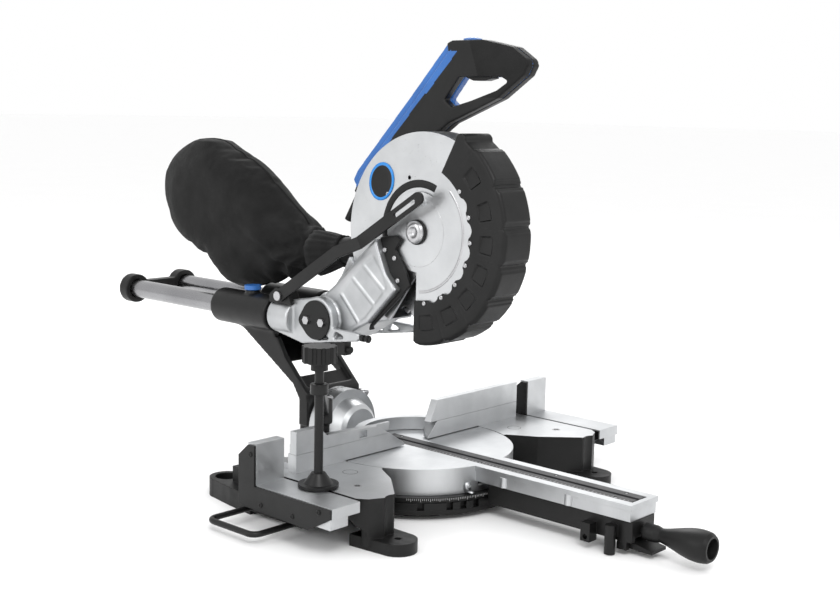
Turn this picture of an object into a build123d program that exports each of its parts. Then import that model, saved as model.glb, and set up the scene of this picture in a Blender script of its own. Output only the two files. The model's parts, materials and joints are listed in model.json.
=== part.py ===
from build123d import *
import os
from math import atan, cos, pi, radians, sin, sqrt

# Sliding compound mitre saw. Millimetres, +X to the operator's right, +Y away from the
# operator, +Z up. The origin is on the bench, on the turntable's turning axis.

# ---------------------------------------------------------------- driving dimensions
TABLE_Z = 67.5          # height of the work surface
FENCE_TOP_Z = 123.2     # top of the sliding fences
FENCE_SEAM_Z = 92.0     # joint between fixed and sliding fence
FENCE_END_X = 233.0     # outer end of every fence half
TURNTABLE_R = 139.8
WING_X = 252.0          # half width of the fixed table
PLATE_T = 6.0           # thickness of cast plates and walls
BOLT_X, BOLT_Y = 213.0, 165.0   # half spacings of the bench bolt holes
FOOT_T = 15.5
RING_Z = 31.3           # underside of the turntable
ARM_FRONT_Y = -385.7
ARM_HALF_X = 31.0
KNOB_Z = 29.5           # height of the mitre lock's axis
KERF_HALF = 3.5
RAIL_X, RAIL_Z, RAIL_R = 50.3, 231.0, 15.0
RAIL_REAR_Y = 613.0
PIVOT = (146.0, 235.0)      # y, z of the chop pivot
ARBOR = (-18.0, 375.0)      # y, z of the blade's axis
GUARD = (-24.0, 372.0)      # y, z of the fixed guard's centre
GUARD_R = 141.0
GUARD_HALF = 22.0           # half width of the fixed guard
SHELL_R = 158.0             # outside of the lower guard
BLADE_R = 127.0
BEVEL_R = 56.0              # trunnion radius, centred on the work surface
TRUNNION_Y = 137.0          # front face of the trunnion
BEVEL_FACE_Y = 166.4        # front face of the bevel arm
LINK_REAR = (215.0, 264.0)  # y, z of the guard link's rear pin
LINK_PIN = (-27.0, 416.0)   # y, z of the guard link's front pin
GEAR_TEETH, PINION_TEETH, MODULE = 54, 12, 2.0
MOTOR_TILT = 20.0           # the motor lies this many degrees above the arbor's rear
RUNNING = 0.06              # radial clearance of shafts and rods

GEAR_DISTANCE = MODULE * (GEAR_TEETH + PINION_TEETH) / 2
MOTOR = (
    ARBOR[0] + GEAR_DISTANCE * cos(radians(MOTOR_TILT)),
    ARBOR[1] + GEAR_DISTANCE * sin(radians(MOTOR_TILT)),
)

os.makedirs("parts", exist_ok=True)


# ---------------------------------------------------------------- shape helpers
def rod_x(x0, x1, y, z, radius, mode=Mode.ADD):
    """A round bar along X."""
    with Locations(((x0 + x1) / 2, y, z)):
        Cylinder(radius, x1 - x0, rotation=(0, 90, 0), mode=mode)


def rod_y(y0, y1, x, z, radius, mode=Mode.ADD):
    """A round bar along Y."""
    with Locations((x, (y0 + y1) / 2, z)):
        Cylinder(radius, y1 - y0, rotation=(90, 0, 0), mode=mode)


def rod_z(z0, z1, x, y, radius, mode=Mode.ADD):
    """A round bar along Z."""
    with Locations((x, y, (z0 + z1) / 2)):
        Cylinder(radius, z1 - z0, mode=mode)


def block(x0, x1, y0, y1, z0, z1, mode=Mode.ADD):
    """A box between two corners."""
    with Locations(((x0 + x1) / 2, (y0 + y1) / 2, (z0 + z1) / 2)):
        Box(x1 - x0, y1 - y0, z1 - z0, mode=mode)


def plate_x(outline, x0, x1, corner=0.0, mode=Mode.ADD):
    """A plate across X whose outline is given in y, z."""
    with BuildSketch(Plane.YZ.offset(x0)) as profile:
        Polygon(*outline, align=None)
        if corner:
            fillet(profile.vertices(), corner)
    extrude(profile.sketch, amount=x1 - x0, mode=mode)


def plate_y(outline, y0, y1, corner=0.0, mode=Mode.ADD):
    """A plate across Y whose outline is given in x, z."""
    with BuildSketch(Plane.XZ.offset(-y1)) as profile:
        Polygon(*outline, align=None)
        if corner:
            fillet(profile.vertices(), corner)
    extrude(profile.sketch, amount=y1 - y0, mode=mode)


def plate_z(outline, z0, z1, corner=0.0, mode=Mode.ADD):
    """A flat plate whose outline is given in x, y."""
    with BuildSketch(Plane.XY.offset(z0)) as profile:
        Polygon(*outline, align=None)
        if corner:
            fillet(profile.vertices(), corner)
    extrude(profile.sketch, amount=z1 - z0, mode=mode)


def around(centre, radius, angle):
    """The y, z point at an angle that is counted from the front upwards."""
    turn = radians(angle)
    return (centre[0] - radius * cos(turn), centre[1] + radius * sin(turn))


def sector_x(centre, r_in, r_out, start, end, x0, x1, mode=Mode.ADD):
    """A plate across X in the shape of a ring sector."""
    middle = (start + end) / 2
    with BuildSketch(Plane.YZ.offset(x0)) as profile:
        with BuildLine():
            ThreePointArc(*[around(centre, r_out, a) for a in (start, middle, end)])
            Line(around(centre, r_out, end), around(centre, r_in, end))
            ThreePointArc(*[around(centre, r_in, a) for a in (end, middle, start)])
            Line(around(centre, r_in, start), around(centre, r_out, start))
        make_face()
    extrude(profile.sketch, amount=x1 - x0, mode=mode)


def segment_x(centre, radius, start, end, x0, x1, mode=Mode.ADD):
    """A plate across X bounded by an arc and its chord."""
    middle = (start + end) / 2
    with BuildSketch(Plane.YZ.offset(x0)) as profile:
        with BuildLine():
            ThreePointArc(*[around(centre, radius, a) for a in (start, middle, end)])
            Line(around(centre, radius, end), around(centre, radius, start))
        make_face()
    extrude(profile.sketch, amount=x1 - x0, mode=mode)


def mirrored(outline, side):
    """An x, y or x, z outline, on the right for side 1 and on the left for side -1."""
    return [(side * a, b) for a, b in outline]


def save(builder, name):
    """Label a finished piece and write it."""
    builder.part.label = name
    export_step(builder.part, f"parts/{name}.step")


# ================================================================ BASE
SKIRT_Z = 6.0
WING = [
    (WING_X, -130), (243, -143), (222, -153), (203, -149), (158, -100), (134, -60),
    (110, -50), (110, 40), (132, 48), (178, 64), (190, 74), (WING_X, 74),
]
WING_HOLLOW = [
    (246, -128), (239, -138), (221, -147), (206, -143), (164, -96), (150, -72),
    (150, 46), (180, 58), (192, 68), (246, 68),
]
REAR_LEG = [(190, 70), (WING_X, 70), (246, 120), (238, 165), (188, 165), (186, 120)]
FRONT_LEG = [(187, -110), (243, -110), (238, -165), (188, -165)]
FOOT_R = 25.0
SIDE_ARCH = [(-160, -1), (-134, 30), (-118, 38), (-50, 38), (-43, 26), (-43, -1)]
CLAMP_HOLE = (156.0, 28.0)
CLAMP_HOLE_R = 7.1
GUIDE_Y = (-28.0, -62.0)      # guide rods of the extension tables
GUIDE_Z, GUIDE_R = 50.0, 5.0
BOW_Y = (-30.0, 60.0)         # legs of the support bow
BOW_Z, BOW_R = 14.0, 4.0

with BuildPart() as base_casting:
    for side in (-1, 1):
        plate_z(mirrored(WING, side), SKIRT_Z, TABLE_Z)
        plate_z(mirrored(WING_HOLLOW, side), 0, TABLE_Z - PLATE_T, mode=Mode.SUBTRACT)
    rod_z(8, 14, 0, 0, 152.4)
    rod_z(14, RING_Z, 0, 0, 152.8, Mode.SUBTRACT)
    rod_z(RING_Z - 1, TABLE_Z + 1, 0, 0, TURNTABLE_R + 1.6, Mode.SUBTRACT)
    block(-160, 160, -20, 160, 0, 14, Mode.SUBTRACT)
    for side in (-1, 1):
        plate_z(mirrored([(120, -60), (170, -60), (170, 40), (120, 40)], side), SKIRT_Z, 14)
        plate_z(mirrored(REAR_LEG, side), 0, 26)
        rod_z(0, 26, side * BOLT_X, BOLT_Y, FOOT_R)
        plate_z(mirrored(FRONT_LEG, side), 0, FOOT_T)
        rod_z(0, FOOT_T, side * BOLT_X, -BOLT_Y, FOOT_R)
        plate_z(mirrored([(204, 50), (230, 50), (224, 140), (210, 140)], side), 25, 48)
    rod_z(8, 14, 0, 0, 132)
    rod_z(14, RING_Z - 0.3, 0, 0, 22)
    for side in (-1, 1):
        for rear in (-1, 1):
            rod_z(FOOT_T, 70, side * BOLT_X, rear * BOLT_Y, 17, Mode.SUBTRACT)
            rod_z(-1, FOOT_T + 1, side * BOLT_X, rear * BOLT_Y, 4.5, Mode.SUBTRACT)
        for guide_y in GUIDE_Y:
            low, high = sorted((side * 234, side * 247))
            rod_x(low, high, guide_y, GUIDE_Z, 9.5)
        rod_z(TABLE_Z - 36, TABLE_Z - PLATE_T, side * CLAMP_HOLE[0], CLAMP_HOLE[1], 13)
    for side in (-1, 1):
        low, high = sorted((side * 230, side * 256))
        for guide_y in GUIDE_Y:
            rod_x(low, high, guide_y, GUIDE_Z, GUIDE_R + RUNNING, Mode.SUBTRACT)
        rod_z(TABLE_Z - 32, TABLE_Z + 1, side * CLAMP_HOLE[0], CLAMP_HOLE[1], CLAMP_HOLE_R, Mode.SUBTRACT)
        low, high = sorted((side * 243.5, side * 256))
        plate_x(SIDE_ARCH, low, high, mode=Mode.SUBTRACT)
    for leg_y in BOW_Y:
        rod_x(-WING_X, -226, leg_y, BOW_Z, 9)
        rod_x(-WING_X - 4, -150, leg_y, BOW_Z, BOW_R + RUNNING, Mode.SUBTRACT)
    rod_z(7, RING_Z, 0, 0, 8.0, Mode.SUBTRACT)
save(base_casting, "base_casting")

with BuildPart() as detent_ring:
    rod_z(14.1, 24, 0, 0, 152.4)
    rod_z(14, 25, 0, 0, 124, Mode.SUBTRACT)
    block(-160, 160, -20, 160, 10, 30, Mode.SUBTRACT)
    for angle in (-45, -30, -22.5, -15, 0, 15, 22.5, 30, 45):
        turn = radians(angle)
        with Locations(Location((152 * sin(turn), -152 * cos(turn), 19), (0, 0, angle))):
            Box(9, 14, 20, mode=Mode.SUBTRACT)
save(detent_ring, "detent_ring")

with BuildPart() as mitre_scale_ring:
    rod_z(24.1, 31, 0, 0, 150.4)
    rod_z(24, 32, 0, 0, 124, Mode.SUBTRACT)
    block(-160, 160, -20, 160, 20, 40, Mode.SUBTRACT)
save(mitre_scale_ring, "mitre_scale_ring")

with BuildPart() as turntable_pivot_bolt:
    rod_z(8.2, 46, 0, 0, 8.0 - RUNNING)
    rod_z(46, 50, 0, 0, 13)
save(turntable_pivot_bolt, "turntable_pivot_bolt")

FENCE_T = 16.0
with BuildPart() as fixed_fence:
    for side in (-1, 1):
        plate_z(
            mirrored([(25, 0), (FENCE_END_X, 0), (FENCE_END_X, FENCE_T), (34, FENCE_T)], side),
            TABLE_Z, FENCE_SEAM_Z,
        )
        plate_z(
            mirrored([(150, 10), (225, 10), (225, 34), (176, 34), (172, FENCE_T)], side),
            TABLE_Z, TABLE_Z + 8,
        )
        low, high = sorted((side * 44, side * 230))
        block(low, high, FENCE_T - 4, FENCE_T + 0.01, FENCE_SEAM_Z - 4, FENCE_SEAM_Z + 12)
    with BuildSketch(Plane.XY.offset(TABLE_Z)) as bridge:
        Circle(88)
        Circle(76, mode=Mode.SUBTRACT)
        with Locations((0, -50)):
            Rectangle(200, 124, mode=Mode.SUBTRACT)
    extrude(amount=20)
    plate_y([(-58, 93), (-24, 71.5), (-20, 71.5), (-20, 93)], -1, FENCE_T + 1, mode=Mode.SUBTRACT)
    plate_y([(46, 93), (25, 70), (20, 70), (20, 93)], -1, FENCE_T + 1, mode=Mode.SUBTRACT)
    rod_z(TABLE_Z - 1, TABLE_Z + 1.2, 0, 0, TURNTABLE_R + 2, Mode.SUBTRACT)
save(fixed_fence, "fixed_fence")

SLIDE_T = 11.6
with BuildPart() as fence_slide_left:
    plate_y(
        [(-FENCE_END_X, FENCE_SEAM_Z + 0.3), (-FENCE_END_X, FENCE_TOP_Z), (-192, FENCE_TOP_Z),
         (-178, 110), (-80, 106), (-58, FENCE_SEAM_Z + 0.3)],
        0, SLIDE_T,
    )
    block(-116, -101, -1, 6, 94.5, 104, Mode.SUBTRACT)
save(fence_slide_left, "fence_slide_left")

with BuildPart() as fence_slide_right:
    plate_y(
        [(FENCE_END_X, FENCE_SEAM_Z + 0.3), (FENCE_END_X, FENCE_TOP_Z), (44, FENCE_TOP_Z),
         (30, FENCE_SEAM_Z + 0.3)],
        0, SLIDE_T,
    )
save(fence_slide_right, "fence_slide_right")

# ---------------------------------------------------------------- extension tables
EXT_IN, EXT_OUT = 257.3, 304.7
EXT_FRONT, EXT_REAR = -142.0, 12.0
EXT_T = 14.0
for side, name in ((-1, "left"), (1, "right")):
    low, high = sorted((side * EXT_IN, side * EXT_OUT))
    with BuildPart() as extension_table:
        block(low, high, EXT_FRONT, EXT_REAR, TABLE_Z - EXT_T, TABLE_Z)
        block(low + 4, high - 4, EXT_FRONT + 4, EXT_REAR - 4, 50, TABLE_Z - PLATE_T, Mode.SUBTRACT)
        block(low, high, -3.3, EXT_REAR, TABLE_Z, 121)
        rib_start, rib_end = sorted((side * (EXT_OUT - 30), side * EXT_OUT))
        block(rib_start, rib_end, EXT_FRONT + 3, EXT_FRONT + 27, 40, TABLE_Z - PLATE_T)
        rod_start, rod_end = sorted((side * 150, side * (EXT_IN + 20)))
        for guide_y in GUIDE_Y:
            rod_x(rod_start, rod_end, guide_y, GUIDE_Z, GUIDE_R)
            boss_start, boss_end = sorted((side * (EXT_IN + 3), side * (EXT_IN + 22)))
            block(boss_start, boss_end, guide_y - 9, guide_y + 9, GUIDE_Z, TABLE_Z - PLATE_T)
            rod_x(boss_start, boss_end, guide_y, GUIDE_Z, 9)
    save(extension_table, f"extension_table_{name}")
    plate_at = -EXT_OUT - 3.4 if side < 0 else EXT_IN - 3.4
    with BuildPart() as side_plate:
        plate_x(
            [(EXT_FRONT, 55), (EXT_FRONT, TABLE_Z - 1), (-3.3, TABLE_Z - 1), (-3.3, 119),
             (9, 119), (27, 103), (27, 40), (20, 37), (-104, 34)],
            plate_at, plate_at + 3.2,
        )
        if side > 0:
            for guide_y in GUIDE_Y:
                rod_x(plate_at - 1, plate_at + 4, guide_y, GUIDE_Z, GUIDE_R + 0.4, Mode.SUBTRACT)
    save(side_plate, f"extension_plate_{name}")

with BuildPart() as support_bow:
    with BuildSketch(Plane.YZ.offset(-216)) as bow_section:
        with Locations((BOW_Y[0], BOW_Z)):
            Circle(BOW_R)
    with BuildLine() as bow_path:
        FilletPolyline(
            (-216, BOW_Y[0], BOW_Z), (-331, BOW_Y[0], BOW_Z),
            (-331, BOW_Y[1], BOW_Z), (-216, BOW_Y[1], BOW_Z), radius=12,
        )
    sweep(path=bow_path.wire())
save(support_bow, "support_bow")

# ---------------------------------------------------------------- hold-down clamp
SPINDLE_X, SPINDLE_Y = -250.0, -60.0
CLAMP_X = -CLAMP_HOLE[0]
arm_run = sqrt((SPINDLE_X - CLAMP_X) ** 2 + (SPINDLE_Y - CLAMP_HOLE[1]) ** 2)
arm_dir = ((SPINDLE_X - CLAMP_X) / arm_run, (SPINDLE_Y - CLAMP_HOLE[1]) / arm_run, 0)
with BuildPart() as clamp_post:
    rod_z(TABLE_Z - 30, 150, CLAMP_X, CLAMP_HOLE[1], 7.0)
    rod_z(118, 152, CLAMP_X, CLAMP_HOLE[1], 11)
    clamp_plane = Plane(
        origin=(CLAMP_X, CLAMP_HOLE[1], 0), x_dir=arm_dir, z_dir=(arm_dir[1], -arm_dir[0], 0)
    )
    with BuildSketch(clamp_plane) as arm_profile:
        Polygon((0, 126), (0, 150), (arm_run, 201), (arm_run, 187), align=None)
    extrude(amount=6, both=True)
    rod_z(187, 201, SPINDLE_X, SPINDLE_Y, 11.5)
    rod_z(170, 208, SPINDLE_X, SPINDLE_Y, 5.75 + RUNNING, Mode.SUBTRACT)
save(clamp_post, "clamp_post")

with BuildPart() as clamp_spindle:
    rod_z(76, 236, SPINDLE_X, SPINDLE_Y, 5.75)
    with Locations((SPINDLE_X, SPINDLE_Y, 68.1)):
        Cylinder(26, 4, align=(Align.CENTER, Align.CENTER, Align.MIN))
    with Locations((SPINDLE_X, SPINDLE_Y, 72)):
        Cone(19, 9, 14, align=(Align.CENTER, Align.CENTER, Align.MIN))
save(clamp_spindle, "clamp_spindle")

KNOB_FLUTES = 12
with BuildPart() as clamp_knob:
    with BuildSketch(Plane.XY.offset(228)) as knob_profile:
        with Locations((SPINDLE_X, SPINDLE_Y)):
            Circle(22)
            with PolarLocations(23, KNOB_FLUTES):
                Circle(3.4, mode=Mode.SUBTRACT)
    extrude(amount=21)
    rod_z(218, 228.5, SPINDLE_X, SPINDLE_Y, 11)
    rod_z(217, 236.1, SPINDLE_X, SPINDLE_Y, 5.8, Mode.SUBTRACT)
save(clamp_knob, "clamp_knob")

# ================================================================ TURNTABLE
SLOT_FRONT, SLOT_REAR = -376.0, 58.0
ARM_LOW_Z = 46.0          # underside of the table arm
DOME_Y = 113.0            # front face of the trunnion's cap
with BuildPart() as turntable:
    rod_z(RING_Z, TABLE_Z, 0, 0, TURNTABLE_R)
    rod_z(RING_Z - 1, TABLE_Z - PLATE_T, 0, 0, TURNTABLE_R - PLATE_T, Mode.SUBTRACT)
    block(-ARM_HALF_X, ARM_HALF_X, ARM_FRONT_Y, -128, TABLE_Z - 7, TABLE_Z)
    block(-ARM_HALF_X + 2, ARM_HALF_X - 2, ARM_FRONT_Y + 2, -128, ARM_LOW_Z, TABLE_Z - 6.5)
    for side in (-1, 1):
        for boss_y in (-184, -290):
            rod_z(ARM_LOW_Z + 1, TABLE_Z - 6.5, side * (ARM_HALF_X - 4), boss_y, 6)
    block(-ARM_HALF_X + 6, ARM_HALF_X - 6, ARM_FRONT_Y + 6, -120, 39, TABLE_Z - PLATE_T, Mode.SUBTRACT)
    rod_z(RING_Z, 52, 0, 0, 24)
    block(-TURNTABLE_R + 3, TURNTABLE_R - 3, -3, 3, 38, 52)
    block(-BEVEL_R, BEVEL_R, 118, BEVEL_FACE_Y - 0.4, RING_Z, TABLE_Z - 6.5)
    block(-BEVEL_R, BEVEL_R, TRUNNION_Y, BEVEL_FACE_Y - 0.4, RING_Z, TABLE_Z)
    rod_y(TRUNNION_Y, BEVEL_FACE_Y - 0.4, 0, TABLE_Z, BEVEL_R)
    with BuildSketch(Plane.YZ) as dome_profile:
        Polygon(
            (DOME_Y, TABLE_Z), (DOME_Y, TABLE_Z + 30), (DOME_Y + 5, TABLE_Z + 36),
            (TRUNNION_Y + 1, TABLE_Z + 44), (TRUNNION_Y + 1, TABLE_Z), align=None,
        )
    revolve(axis=Axis((0, 0, TABLE_Z), (0, 1, 0)))
    block(-48, 48, 110, 158, RING_Z - 1, TABLE_Z - 26, Mode.SUBTRACT)
    rod_z(RING_Z - 1, 47, 0, 0, 8.0 + RUNNING - 0.06, Mode.SUBTRACT)
    rod_z(45.6, 60, 0, 0, 13.5, Mode.SUBTRACT)
    block(-17.2, 17.2, SLOT_FRONT - 2, SLOT_REAR + 2, TABLE_Z - 4, TABLE_Z + 1, Mode.SUBTRACT)
    block(-10, 10, SLOT_FRONT + 4, SLOT_REAR - 4, 52, TABLE_Z, Mode.SUBTRACT)
    rod_y(TRUNNION_Y - 1, 180, 0, TABLE_Z, 8 + RUNNING, Mode.SUBTRACT)
    rod_y(TRUNNION_Y - 12, TRUNNION_Y - 0.01, 0, TABLE_Z, 16, Mode.SUBTRACT)
    block(-16, 16, TRUNNION_Y - 12, TRUNNION_Y - 0.01, TABLE_Z - 27, TABLE_Z, Mode.SUBTRACT)
save(turntable, "turntable")

with BuildPart() as kerf_insert:
    for side in (-1, 1):
        low, high = sorted((side * KERF_HALF, side * 17))
        block(low, high, SLOT_FRONT, SLOT_REAR, TABLE_Z - 3.9, TABLE_Z)
        with Locations(*[(side * 13, y, TABLE_Z) for y in (-350, -240, -130, 40)]):
            CounterSinkHole(1.6, 3.0, 5)
save(kerf_insert, "kerf_insert")

with BuildPart() as kerf_screws:
    for side in (-1, 1):
        for screw_y in (-350, -240, -130, 40):
            rod_z(TABLE_Z - 3.8, TABLE_Z - 0.9, side * 13, screw_y, 1.5)
            rod_z(TABLE_Z - 1.0, TABLE_Z - 0.4, side * 13, screw_y, 2.0)
save(kerf_screws, "kerf_screws")

UNDER_Z = 18.0
with BuildPart() as arm_underbody:
    block(-25, 25, ARM_FRONT_Y + 1, -156, UNDER_Z, ARM_LOW_Z - 0.1)
    block(-20, 20, -345, -162, UNDER_Z - 1, 36, Mode.SUBTRACT)
    for wall_y in (-300, -230):
        block(-20, 20, wall_y, wall_y + 8, UNDER_Z, 36.5)
    for side in (-1, 1):
        low, high = sorted((side * 18, side * 25))
        block(low, high, -377, -363, 7, UNDER_Z + 1)
    block(-17.5, 17.5, ARM_FRONT_Y, -344, UNDER_Z - 10, 23, Mode.SUBTRACT)
    block(-40, -24, -332, -318, 10, 34)
    rod_z(1, 38, -33, -358, 7)
    block(-36, -24, -364, -352, 22, 38)
    rod_x(-42, -22, -325, 16, 3.5, Mode.SUBTRACT)
    rod_y(-400, -150, 0, KNOB_Z, 6 + RUNNING, Mode.SUBTRACT)
    rod_x(-26, 26, -370, 12, 3 + RUNNING, Mode.SUBTRACT)
save(arm_underbody, "arm_underbody")

with BuildPart() as mitre_knob:
    with BuildSketch(Plane.YZ) as grip_profile:
        with BuildLine():
            Polyline(
                (-389, KNOB_Z), (-389, KNOB_Z + 11), (-404, KNOB_Z + 11), (-412, KNOB_Z + 9),
            )
            Spline(
                (-412, KNOB_Z + 9), (-432, KNOB_Z + 14), (-458, KNOB_Z + 20),
                (-478, KNOB_Z + 19),
            )
            Polyline(
                (-478, KNOB_Z + 19), (-482, KNOB_Z + 16), (-482, KNOB_Z + 13),
                (-468, KNOB_Z + 11), (-468, KNOB_Z), (-389, KNOB_Z),
            )
        make_face()
    revolve(axis=Axis((0, 0, KNOB_Z), (0, 1, 0)))
    rod_y(-420, -155, 0, KNOB_Z, 6.0)
save(mitre_knob, "mitre_knob")

with BuildPart() as detent_lever:
    plate_x([(-354, 21), (-354, 16), (-368, 8), (-409, 7), (-409, 11), (-374, 17)], -16, 16)
    rod_x(-24, 24, -370, 12, 3.0)
save(detent_lever, "detent_lever")

# ================================================================ BEVEL ARM
HOUSING_R = 27.0
HOUSING_FRONT, HOUSING_REAR = 245.0, 373.0
with BuildPart() as bevel_arm:
    rod_y(BEVEL_FACE_Y, 192, 0, TABLE_Z, BEVEL_R - 4)
    plate_x(
        [(BEVEL_FACE_Y + 2, 70), (BEVEL_FACE_Y + 4, 118), (222, 168), (245, 205), (245, 232),
         (373, 232), (373, 216), (318, 201), (202, 129), (188, 108), (188, 70)],
        -56, 56,
    )
    block(-44, 44, 200, 240, 90, 160, Mode.SUBTRACT)
    plate_x(
        [(220, 160), (180, 120), (180, 165), (262, 222), (320, 222), (262, 176)],
        -46, 46, mode=Mode.SUBTRACT,
    )
    for side in (-1, 1):
        rod_y(HOUSING_FRONT, HOUSING_REAR, side * RAIL_X, RAIL_Z, HOUSING_R)
    rod_z(245, 262, -RAIL_X, 301, 11)
    for side in (-1, 1):
        rod_y(HOUSING_FRONT - 30, HOUSING_REAR + 30, side * RAIL_X, RAIL_Z, 19, Mode.SUBTRACT)
    rod_z(244, 264, -RAIL_X, 301, 5 + RUNNING, Mode.SUBTRACT)
    rod_y(BEVEL_FACE_Y - 1, 200, 0, TABLE_Z, 8.0, Mode.SUBTRACT)
    block(-78, 78, 194, HOUSING_FRONT - 0.5, 196, 270, Mode.SUBTRACT)
    rod_y(186, 202, 34, 92, 6)
    rod_y(185, 204, 34, 92, 3 + RUNNING, Mode.SUBTRACT)
save(bevel_arm, "bevel_arm")

with BuildPart() as rail_bushings:
    for side in (-1, 1):
        for start in (HOUSING_FRONT, HOUSING_REAR - 24):
            rod_y(start, start + 24, side * RAIL_X, RAIL_Z, 18.9)
            rod_y(start - 1, start + 25, side * RAIL_X, RAIL_Z, RAIL_R + RUNNING, Mode.SUBTRACT)
save(rail_bushings, "rail_bushings")

with BuildPart() as bevel_pivot_bolt:
    rod_y(TRUNNION_Y - 8, 200, 0, TABLE_Z, 7.98)
    rod_y(TRUNNION_Y - 8, TRUNNION_Y - 0.5, 0, TABLE_Z, 13)
    rod_y(193.4, 200, 0, TABLE_Z, 12)
save(bevel_pivot_bolt, "bevel_pivot_bolt")

with BuildPart() as bevel_lock_lever:
    rod_y(186, 214, 34, 92, 3.0)
    rod_y(203, 216, 34, 92, 9)
    plate_y([(30, 86), (34, 98), (74, 112), (78, 104)], 206, 214)
    rod_y(204, 216, 76, 108, 8)
save(bevel_lock_lever, "bevel_lock_lever")

with BuildPart() as slide_lock_knob:
    rod_z(246.2, 264, -RAIL_X, 301, 5.0)
    rod_z(262.4, 269, -RAIL_X, 301, 13)
save(slide_lock_knob, "slide_lock_knob")

# ================================================================ SLIDING CARRIAGE
CLAMP_FRONT, CLAMP_REAR = 196.0, 241.0
with BuildPart() as slide_rails:
    for side in (-1, 1):
        rod_y(CLAMP_FRONT + 2, RAIL_REAR_Y, side * RAIL_X, RAIL_Z, RAIL_R)
        rod_y(CLAMP_FRONT, RAIL_REAR_Y + 1, side * RAIL_X, RAIL_Z, RAIL_R - 2.5, Mode.SUBTRACT)
save(slide_rails, "slide_rails")

with BuildPart() as rail_end_cap:
    for side in (-1, 1):
        rod_y(RAIL_REAR_Y - 14, RAIL_REAR_Y + 7, side * RAIL_X, RAIL_Z, 24)
    block(-RAIL_X, RAIL_X, RAIL_REAR_Y - 12, RAIL_REAR_Y + 5, RAIL_Z - 12, RAIL_Z + 12)
    for side in (-1, 1):
        rod_y(RAIL_REAR_Y - 15, RAIL_REAR_Y + 0.1, side * RAIL_X, RAIL_Z, RAIL_R + 0.05, Mode.SUBTRACT)
save(rail_end_cap, "rail_end_cap")

EAR_IN, EAR_OUT = 48.0, 62.0
EAR_R = 34.0
EAR = [(CLAMP_REAR, 208), (CLAMP_REAR, 255), (206, 258), (160, 266), (128, 206), (176, 196)]
WEB = [(180, 196), (62, 214), (57, 219), (60, 226), (118, 227), (160, 232)]
with BuildPart() as carriage_bracket:
    for side in (-1, 1):
        rod_y(CLAMP_FRONT, CLAMP_REAR, side * RAIL_X, RAIL_Z, 25.5)
        low, high = sorted((side * EAR_IN, side * EAR_OUT))
        plate_x(EAR, low, high)
        rod_x(low, high, *PIVOT, EAR_R)
        low, high = sorted((side * (EAR_OUT - 8), side * EAR_OUT))
        plate_x(WEB, low, high)
    block(-RAIL_X, RAIL_X, 198, CLAMP_REAR, 214, 246)
    for side in (-1, 1):
        low, high = sorted((side * (EAR_IN - 4), side * (EAR_OUT + 1)))
        plate_x([(146, 206), (118, 210), (140, 222)], low, high, mode=Mode.SUBTRACT)
        plate_x([(112, 211), (84, 216), (106, 223)], low, high, mode=Mode.SUBTRACT)
        rod_y(CLAMP_FRONT + 2, CLAMP_REAR + 1, side * RAIL_X, RAIL_Z, RAIL_R + 0.05, Mode.SUBTRACT)
    rod_x(-70, 70, *PIVOT, 8.0, Mode.SUBTRACT)
    rod_x(-EAR_IN, EAR_IN, *PIVOT, 38, Mode.SUBTRACT)
save(carriage_bracket, "carriage_bracket")

COVER_T = 2.6
LINK_X = (-74.5, -51.5)     # outer faces of the guard link's rear and front stretches
LINK_T = 4.0
with BuildPart() as pivot_covers:
    for side in (-1, 1):
        low, high = sorted((side * (EAR_OUT + 0.1), side * (EAR_OUT + COVER_T)))
        with BuildSketch(Plane.YZ.offset(low)) as cover_profile:
            with Locations(PIVOT):
                Circle(29)
            with Locations((172, 232)):
                Circle(9)
            make_hull()
        extrude(amount=high - low)
save(pivot_covers, "pivot_covers")

with BuildPart() as bracket_bolts:
    for side in (-1, 1):
        for bolt_y in (131, 163):
            with BuildSketch(Plane.YZ.offset(side * (EAR_OUT + COVER_T + 0.05))) as hex_head:
                with Locations((bolt_y, 233)):
                    RegularPolygon(6.5, 6)
            extrude(amount=side * 4)
    rod_x(LINK_X[0] - 3.5, LINK_X[0] - 0.4, *LINK_REAR, 7)
    rod_x(LINK_X[0] - 1, -54, *LINK_REAR, 4.0)
save(bracket_bolts, "bracket_bolts")

with BuildPart() as link_bracket:
    plate_x([(240, 252), (192, 252), (200, 272), (226, 275), (240, 264)], -69.9, -50)
    rod_y(180, 260, -RAIL_X, RAIL_Z, 25.6, Mode.SUBTRACT)
    plate_x(EAR, -EAR_OUT - 0.1, -EAR_IN + 0.1, mode=Mode.SUBTRACT)
    rod_x(-80, -46, *LINK_REAR, 4.05, Mode.SUBTRACT)
save(link_bracket, "link_bracket")

with BuildPart() as pivot_shaft:
    rod_x(-61.5, 61.5, *PIVOT, 7.95)
save(pivot_shaft, "pivot_shaft")

with BuildPart() as laser_unit:
    block(-60, -47, 88, 114, 190, 209)
    rod_y(82, 88.5, -53, 198, 5)
    block(-60, -54.5, 94, 108, 208, 213.5)
    plate_x(WEB, -62.5, -53.5, mode=Mode.SUBTRACT)
save(laser_unit, "laser_unit")

with BuildPart() as depth_stop:
    rod_y(40.5, 60, -58, 220, 3.2)
    rod_y(41.5, 44.5, -58, 220, 5.4)
    rod_y(50, 56, -58, 220, 5)
    plate_x(WEB, -62.5, -53.5, mode=Mode.SUBTRACT)
save(depth_stop, "depth_stop")

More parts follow.
